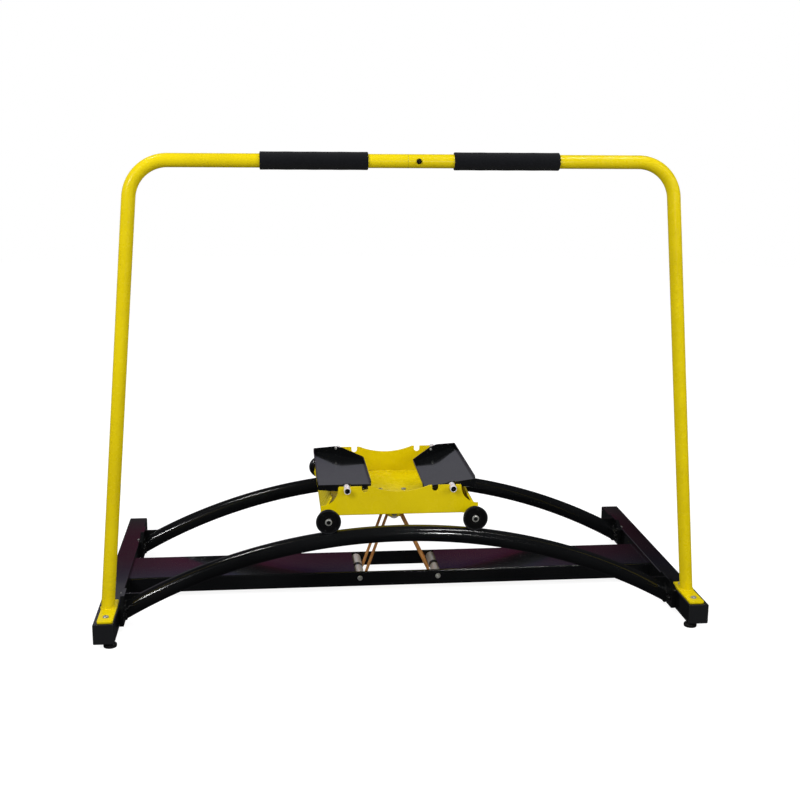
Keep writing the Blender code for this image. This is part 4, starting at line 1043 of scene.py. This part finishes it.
pivotSleeve = {"radius": 0.0085, "neck": 0.0072, "neckStart": 0.1985, "neckEnd": 0.2025, "counterbore": 0.0067,
               "counterDeep": 0.0117, "bore": 0.0043, "edge": 0.0008, "rod": 0.0040}


def makePivot(side, pivot):
    # The neck in the middle of each sleeve drops into the notch of the tray's side.
    p, centre = pivotSleeve, (pivot.x, 0.0, pivot.z)
    for end, facing in ends:
        node, name = side + "_" + end + "_pivot_sleeve", side + end.capitalize()
        low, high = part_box(node)
        near, far = sorted((abs(low.y), abs(high.y)))
        bottom, mouth = far - p["counterDeep"], p["counterbore"]
        corners = [(near, p["bore"]), (near, p["radius"], p["edge"]), (p["neckStart"], p["radius"], turnedEdge),
                   (p["neckStart"], p["neck"]), (p["neckEnd"], p["neck"]),
                   (p["neckEnd"], p["radius"], turnedEdge), (far, p["radius"], p["edge"]),
                   (far, mouth, turnedEdge), (bottom, mouth), (bottom, p["bore"])]
        bush = lathePiece(name + "PivotSleeve", corners, centre, facing * yAxis, hollow=True, segments=48)
        dress(bush, "pale_nylon", "carriage", node)
        # Painted shade: a thin black cup lines the mouth of the sleeve, so that the bore reads dark.
        shadeLining = shadeCupPiece(name + "SleeveShadeLining", bottom + 0.0002, far - 0.0008, mouth - 0.0001, 0.0005, 0.0002,
                          centre, facing * yAxis)
        dress(shadeLining, "black_plastic", "carriage")
    node = side + "_footplate_rod"
    low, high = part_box(node)
    body = [name for name, empty in frame["bodies"].items() if frame["nodes"][node].parent == empty][0]
    half = (high.y - low.y) / 2
    corners = [(-half, 0.0), (-half, p["rod"], 0.0006), (half, p["rod"], 0.0006), (half, 0.0)]
    dress(lathePiece(side + "FootplateRod", corners, centre, yAxis, segments=40), "black_steel", body, node)


# Elastic bands

band = {"radius": 0.0040, "y": 0.040, "anchorX": 0.420, "anchorZ": 0.034, "stop": 0.0068, "pulleyWrap": 0.0146,
        "wrapSteps": 22, "strandSteps": 46, "channelSteps": 40, "segments": 20, "bendStart": 0.034,
        "bendEnd": 0.212}


def bandSide(side, sign, y):
    # From the anchor under the base roller, and how far the strand above it leans inwards.
    rollerSpot = Vector(joints[side + "_front_base_roller_spin"]["pos_m"])
    rise = joints["front_band_pulley_spin"]["pos_m"][2] - rollerSpot.z
    away = abs(rollerSpot.x)
    wrapRadius = roller["radius"] + band["radius"] + play
    distance = sqrt(away ** 2 + rise ** 2)
    lean = asin(away / distance) - asin((wrapRadius + band["pulleyWrap"]) / distance)
    climb = (band["anchorZ"] - rollerSpot.z + wrapRadius) / (band["anchorX"] - away)
    steps = band["wrapSteps"]
    turns = [-pi / 2 - climb + (pi / 2 + climb - lean) * i / steps for i in range(steps + 1)]
    wrap = [Vector((sign * (away - wrapRadius * cos(a)), y, rollerSpot.z + wrapRadius * sin(a))) for a in turns]
    anchor = Vector((sign * (band["anchorX"] + 0.004), y, band["anchorZ"]))
    start = Vector((sign * (band["anchorX"] - 0.004), y, band["anchorZ"]))
    run = [start.lerp(wrap[0], i / band["channelSteps"]) for i in range(band["channelSteps"])]
    return [anchor] + run + wrap, lean


def bandPath(y):
    left, leftLean = bandSide("left", -1, y)
    right, rightLean = bandSide("right", 1, y)
    height = joints["front_band_pulley_spin"]["pos_m"][2]
    steps, reach = band["strandSteps"], band["pulleyWrap"]
    turns = [rightLean + (pi - leftLean - rightLean) * (1 - i / steps) for i in range(steps + 1)]
    over = [Vector((reach * cos(a), y, height + reach * sin(a))) for a in turns]
    up = [left[-1].lerp(over[0], i / steps) for i in range(1, steps)]
    down = [over[-1].lerp(right[-1], i / steps) for i in range(1, steps)]
    return left + up + over + down + right[::-1]


def makeBands():
    stop = band["stop"]
    # Crimped ferrule behind the anchor plate, rolled at both rims.
    crimp = [(0.0022, 0.0), (0.0022, stop, 0.0010), (0.0060, stop - 0.0004, 0.0006),
             (0.0100, stop - 0.0011, 0.0010), (0.0140, stop - 0.0004, 0.0006), (0.0176, stop - 0.0002, 0.0010),
             (0.0180, 0.0)]
    for end, facing in ends:
        y = facing * band["y"]
        cord = ringsPiece(end + "ElasticBand", sweepRings(bandPath(y), band["radius"], band["segments"]))
        dress(cord, "latex", None, end + "_elastic_band", sharp=60)
        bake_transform(cord)
        for side, sign in sides:
            spot = (sign * band["anchorX"], y, band["anchorZ"])
            name = side + end.capitalize() + "BandFerrule"
            dress(lathePiece(name, crimp, spot, sign * xAxis, segments=40), "zinc_steel", "frame")


makeCrossbars()
makeFeet()
makeChannel()
makeRollers()
makeAnchors()
print("base made")
makeRails()
print("rails made")
makeHandle()
print("handle made")
makeTray()
makeHanger()
makePulleys()
makeWheels()
makeFootplates()
makeBands()
print("carriage made")


# Floor, light and camera

# The pale wall's soft edges in the world: axis, where it starts and where it is full.
studio = {"floorRadius": 9.0, "floorGlow": 0.90, "floorGap": 0.0004, "sky": 0.45, "ground": 0.31,
          "darkRoom": 0.016, "paleWall": 0.30,
          "wallEdges": (("Y", 0.15, 0.55), ("Z", 0.02, 0.08), ("Z", 0.55, 0.40), ("X", 0.30, 0.17))}
# A glowing card that paints the reflection of a dark fitting in front of the pale wall, seen only in the gloss
# black: height, colour.
backFitting = {"y": 1.8, "half": 3.2,
               "rise": ((0.0, "2C3A38"), (0.50, "3A4A48"), (0.56, "62203E"), (0.70, "702646"), (0.75, "343A66"),
                        (0.79, "3A4070"))}


def stagePiece(name, points, faces, paint):
    # An object of the studio with one material, whose tree is handed back to be filled.
    mesh = bpy.data.meshes.new(name)
    mesh.from_pydata(points, [], faces)
    mesh.materials.append(bpy.data.materials.new(paint))
    piece = bpy.data.objects.new(name, mesh)
    bpy.context.scene.collection.objects.link(piece)
    return piece, startTree(mesh.materials[0])


def makeFloor():
    rings = [[(r * cos(2 * pi * k / 96), r * sin(2 * pi * k / 96), 0.0) for k in range(96)]
             for r in (0.001, 1.5, 4.0, studio["floorRadius"])]
    floor, tree = stagePiece("studioFloor", [p for ring in rings for p in ring], ringFaces(rings, False)[:-1],
                             "studioPaint")
    floor.location.z = -studio["floorGap"]
    # Painted cove floor, so evenly lit that only a trace of shadow is left on it.
    glow = addNode(tree, "ShaderNodeEmission", {"Color": hexToLinear("FFFFFF"),
                                                "Strength": studio["floorGlow"]})
    paint = addNode(tree, "ShaderNodeBsdfDiffuse", {"Color": hexToLinear("8C8C8C")})
    both = addNode(tree, "ShaderNodeAddShader", links={0: glow.outputs[0], 1: paint.outputs[0]})
    addNode(tree, "ShaderNodeOutputMaterial", links={"Surface": both.outputs[0]})
    floor.visible_glossy = floor.visible_diffuse = False


def makeBackFitting():
    half, y, rise = backFitting["half"], backFitting["y"], backFitting["rise"]
    low, high = rise[0][0], rise[-1][0]
    corners = [(-half, y, low), (half, y, low), (half, y, high), (-half, y, high)]
    fitting, tree = stagePiece("backFitting", corners, [(0, 1, 2, 3)], "paintedReflectionGlow")
    place = addNode(tree, "ShaderNodeTexCoord").outputs["Object"]
    axes = addNode(tree, "ShaderNodeSeparateXYZ", links={"Vector": place})
    level = addNode(tree, "ShaderNodeMapRange", {"From Min": low, "From Max": high},
                    {"Value": axes.outputs["Z"]})
    ramp = addNode(tree, "ShaderNodeValToRGB", links={"Fac": level.outputs["Result"]})
    for k, (z, colour) in enumerate(rise):
        stop = ramp.color_ramp.elements[k] if k < 2 else ramp.color_ramp.elements.new((z - low) / (high - low))
        stop.position, stop.color = (z - low) / (high - low), hexToLinear(colour)
    # Painted reflection of panels of different tint side by side.
    panel = addNode(tree, "ShaderNodeTexNoise", {"Scale": 1.3, "Detail": 1.0}, {"Vector": place})
    tone = addNode(tree, "ShaderNodeMapRange", {"From Min": 0.35, "From Max": 0.65, "To Min": 0.45,
                                                "To Max": 1.3}, {"Value": panel.outputs["Fac"]})
    # The painted reflection of the fitting fades into shade on the right.
    shade = addNode(tree, "ShaderNodeMapRange", {"From Min": 1.12, "From Max": 1.30, "To Min": 1.0,
                                                 "To Max": 0.3}, {"Value": axes.outputs["X"]})
    tone = addNode(tree, "ShaderNodeMath", links={0: tone.outputs["Result"], 1: shade.outputs["Result"]},
                   operation="MULTIPLY")
    # The card glows with the painted reflection and lights nothing but the gloss.
    glow = addNode(tree, "ShaderNodeEmission",
                   links={"Color": ramp.outputs["Color"], "Strength": tone.outputs["Value"]})
    addNode(tree, "ShaderNodeOutputMaterial", links={"Surface": glow.outputs[0]})
    fitting.visible_camera = fitting.visible_diffuse = fitting.visible_shadow = False


def makeWorld():
    # White behind the machine and even grey air for the diffuse light. The gloss sees a dark room with a pale
    # far wall.
    world = bpy.data.worlds.new("studioAir")
    bpy.context.scene.world = world
    tree = startTree(world)
    axes = addNode(tree, "ShaderNodeSeparateXYZ",
                   links={"Vector": addNode(tree, "ShaderNodeTexCoord").outputs["Generated"]})
    rise = addNode(tree, "ShaderNodeMapRange", {"From Min": -0.25, "From Max": 0.9, "To Min": studio["ground"],
                                                "To Max": studio["sky"]}, {"Value": axes.outputs["Z"]})
    soft = addNode(tree, "ShaderNodeBackground", {"Color": hexToLinear("FFFFFF")},
                   {"Strength": rise.outputs["Result"]})
    wall = None
    for axis, start, full in studio["wallEdges"]:
        edge = addNode(tree, "ShaderNodeMapRange", {"From Min": start, "From Max": full},
                       {"Value": axes.outputs[axis]}).outputs["Result"]
        wall = edge if wall is None else addNode(tree, "ShaderNodeMath", links={0: wall, 1: edge},
                                                 operation="MULTIPLY").outputs["Value"]
    level = addNode(tree, "ShaderNodeMapRange", {"To Min": studio["darkRoom"], "To Max": studio["paleWall"]},
                    {"Value": wall})
    room = addNode(tree, "ShaderNodeBackground", {"Color": hexToLinear("F2F2FF")},
                   {"Strength": level.outputs["Result"]})
    bright = addNode(tree, "ShaderNodeBackground", {"Color": hexToLinear("FFFFFF"), "Strength": 1.0})
    seen = addNode(tree, "ShaderNodeLightPath")
    lit = addNode(tree, "ShaderNodeMixShader", links={0: seen.outputs["Is Glossy Ray"], 1: soft.outputs[0],
                                                      2: room.outputs[0]})
    both = addNode(tree, "ShaderNodeMixShader", links={0: seen.outputs["Is Camera Ray"], 1: lit.outputs[0],
                                                       2: bright.outputs[0]})
    addNode(tree, "ShaderNodeOutputWorld", links={"Surface": both.outputs[0]})


softLights = {
    "keyBox": {"place": (-2.4, -2.6, 2.9), "aim": (0.0, 0.0, 0.4), "size": (1.6, 1.2), "power": 78},
    "fillBox": {"place": (2.8, -2.2, 2.0), "aim": (0.0, 0.0, 0.4), "size": (1.2, 1.6), "power": 45},
    "topBox": {"place": (0.0, 1.6, 3.4), "aim": (0.0, 0.0, 0.2), "size": (2.4, 0.8), "power": 12},
    "trayBox": {"place": (0.0, 0.1, 1.0), "aim": (0.0, 0.0, 0.25), "size": (0.4, 0.3), "power": 1.2},
}
# Thin lamps that draw the short white streaks on the gloss: both ends, what they point at, power.
stripThick = 0.035
stripLamps = {
    "upperStrip": {"ends": ((0.53, -1.67, 2.84), (1.27, -0.33, 3.11)), "aim": (0.10, -0.26, 0.23), "power": 13},
    "lowerStrip": {"ends": ((0.54, -3.14, 0.87), (0.77, -2.87, 1.48)), "aim": (0.10, -0.27, 0.22), "power": 9},
    "leftStrip": {"ends": ((-2.47, -1.77, 1.87), (-2.03, -2.39, 1.53)), "aim": (-0.62, -0.26, 0.08),
                  "power": 11},
    "sideStrip": {"ends": ((-1.70, -0.21, 2.87), (-1.20, -0.40, 3.03)), "aim": (-0.38, 0.0, 0.18), "power": 8},
}


def placeLamp(name, spot, aim, along, size, power):
    light = bpy.data.lights.new(name, "AREA")
    light.shape = "RECTANGLE"
    light.size, light.size_y = size
    light.energy = power
    lamp = bpy.data.objects.new(name, light)
    back = (Vector(spot) - Vector(aim)).normalized()
    across = (along - back * along.dot(back)).normalized()
    turn = Matrix((across, back.cross(across), back)).transposed()
    lamp.matrix_world = Matrix.Translation(spot) @ turn.to_4x4()
    lamp.visible_camera = False
    bpy.context.scene.collection.objects.link(lamp)
    return lamp


def makeLights():
    for name, look in softLights.items():
        lamp = placeLamp(name, look["place"], look["aim"], xAxis, look["size"], look["power"])
        lamp.visible_glossy = False
    for name, look in stripLamps.items():
        first, last = [Vector(p) for p in look["ends"]]
        size = ((last - first).length, stripThick)
        placeLamp(name, (first + last) / 2, look["aim"], last - first, size, look["power"])


view = {"place": (-0.3184, -3.1714, 1.2005), "yaw": 0.1061, "pitch": 0.2146, "roll": 0.0071,
        "focalPixels": 1223.09, "frame": 800, "sensor": 36.0}


def makeCamera():
    yaw, pitch, roll = view["yaw"], view["pitch"], view["roll"]
    forward = Vector((sin(yaw) * cos(pitch), cos(yaw) * cos(pitch), -sin(pitch)))
    right = Vector((cos(yaw), -sin(yaw), 0.0))
    up = right.cross(forward)
    across = right * cos(roll) + up * sin(roll)
    over = up * cos(roll) - right * sin(roll)
    data = bpy.data.cameras.new("photoCamera")
    data.sensor_width = view["sensor"]
    data.lens = view["focalPixels"] / view["frame"] * view["sensor"]
    camera = bpy.data.objects.new("photoCamera", data)
    turn = Matrix((across, over, -forward)).transposed()
    camera.matrix_world = Matrix.Translation(view["place"]) @ turn.to_4x4()
    bpy.context.scene.collection.objects.link(camera)
    bpy.context.scene.camera = camera


makeFloor()
makeBackFitting()
makeWorld()
makeLights()
makeCamera()
bpy.context.scene.view_settings.view_transform = "Standard"
print("studio made")
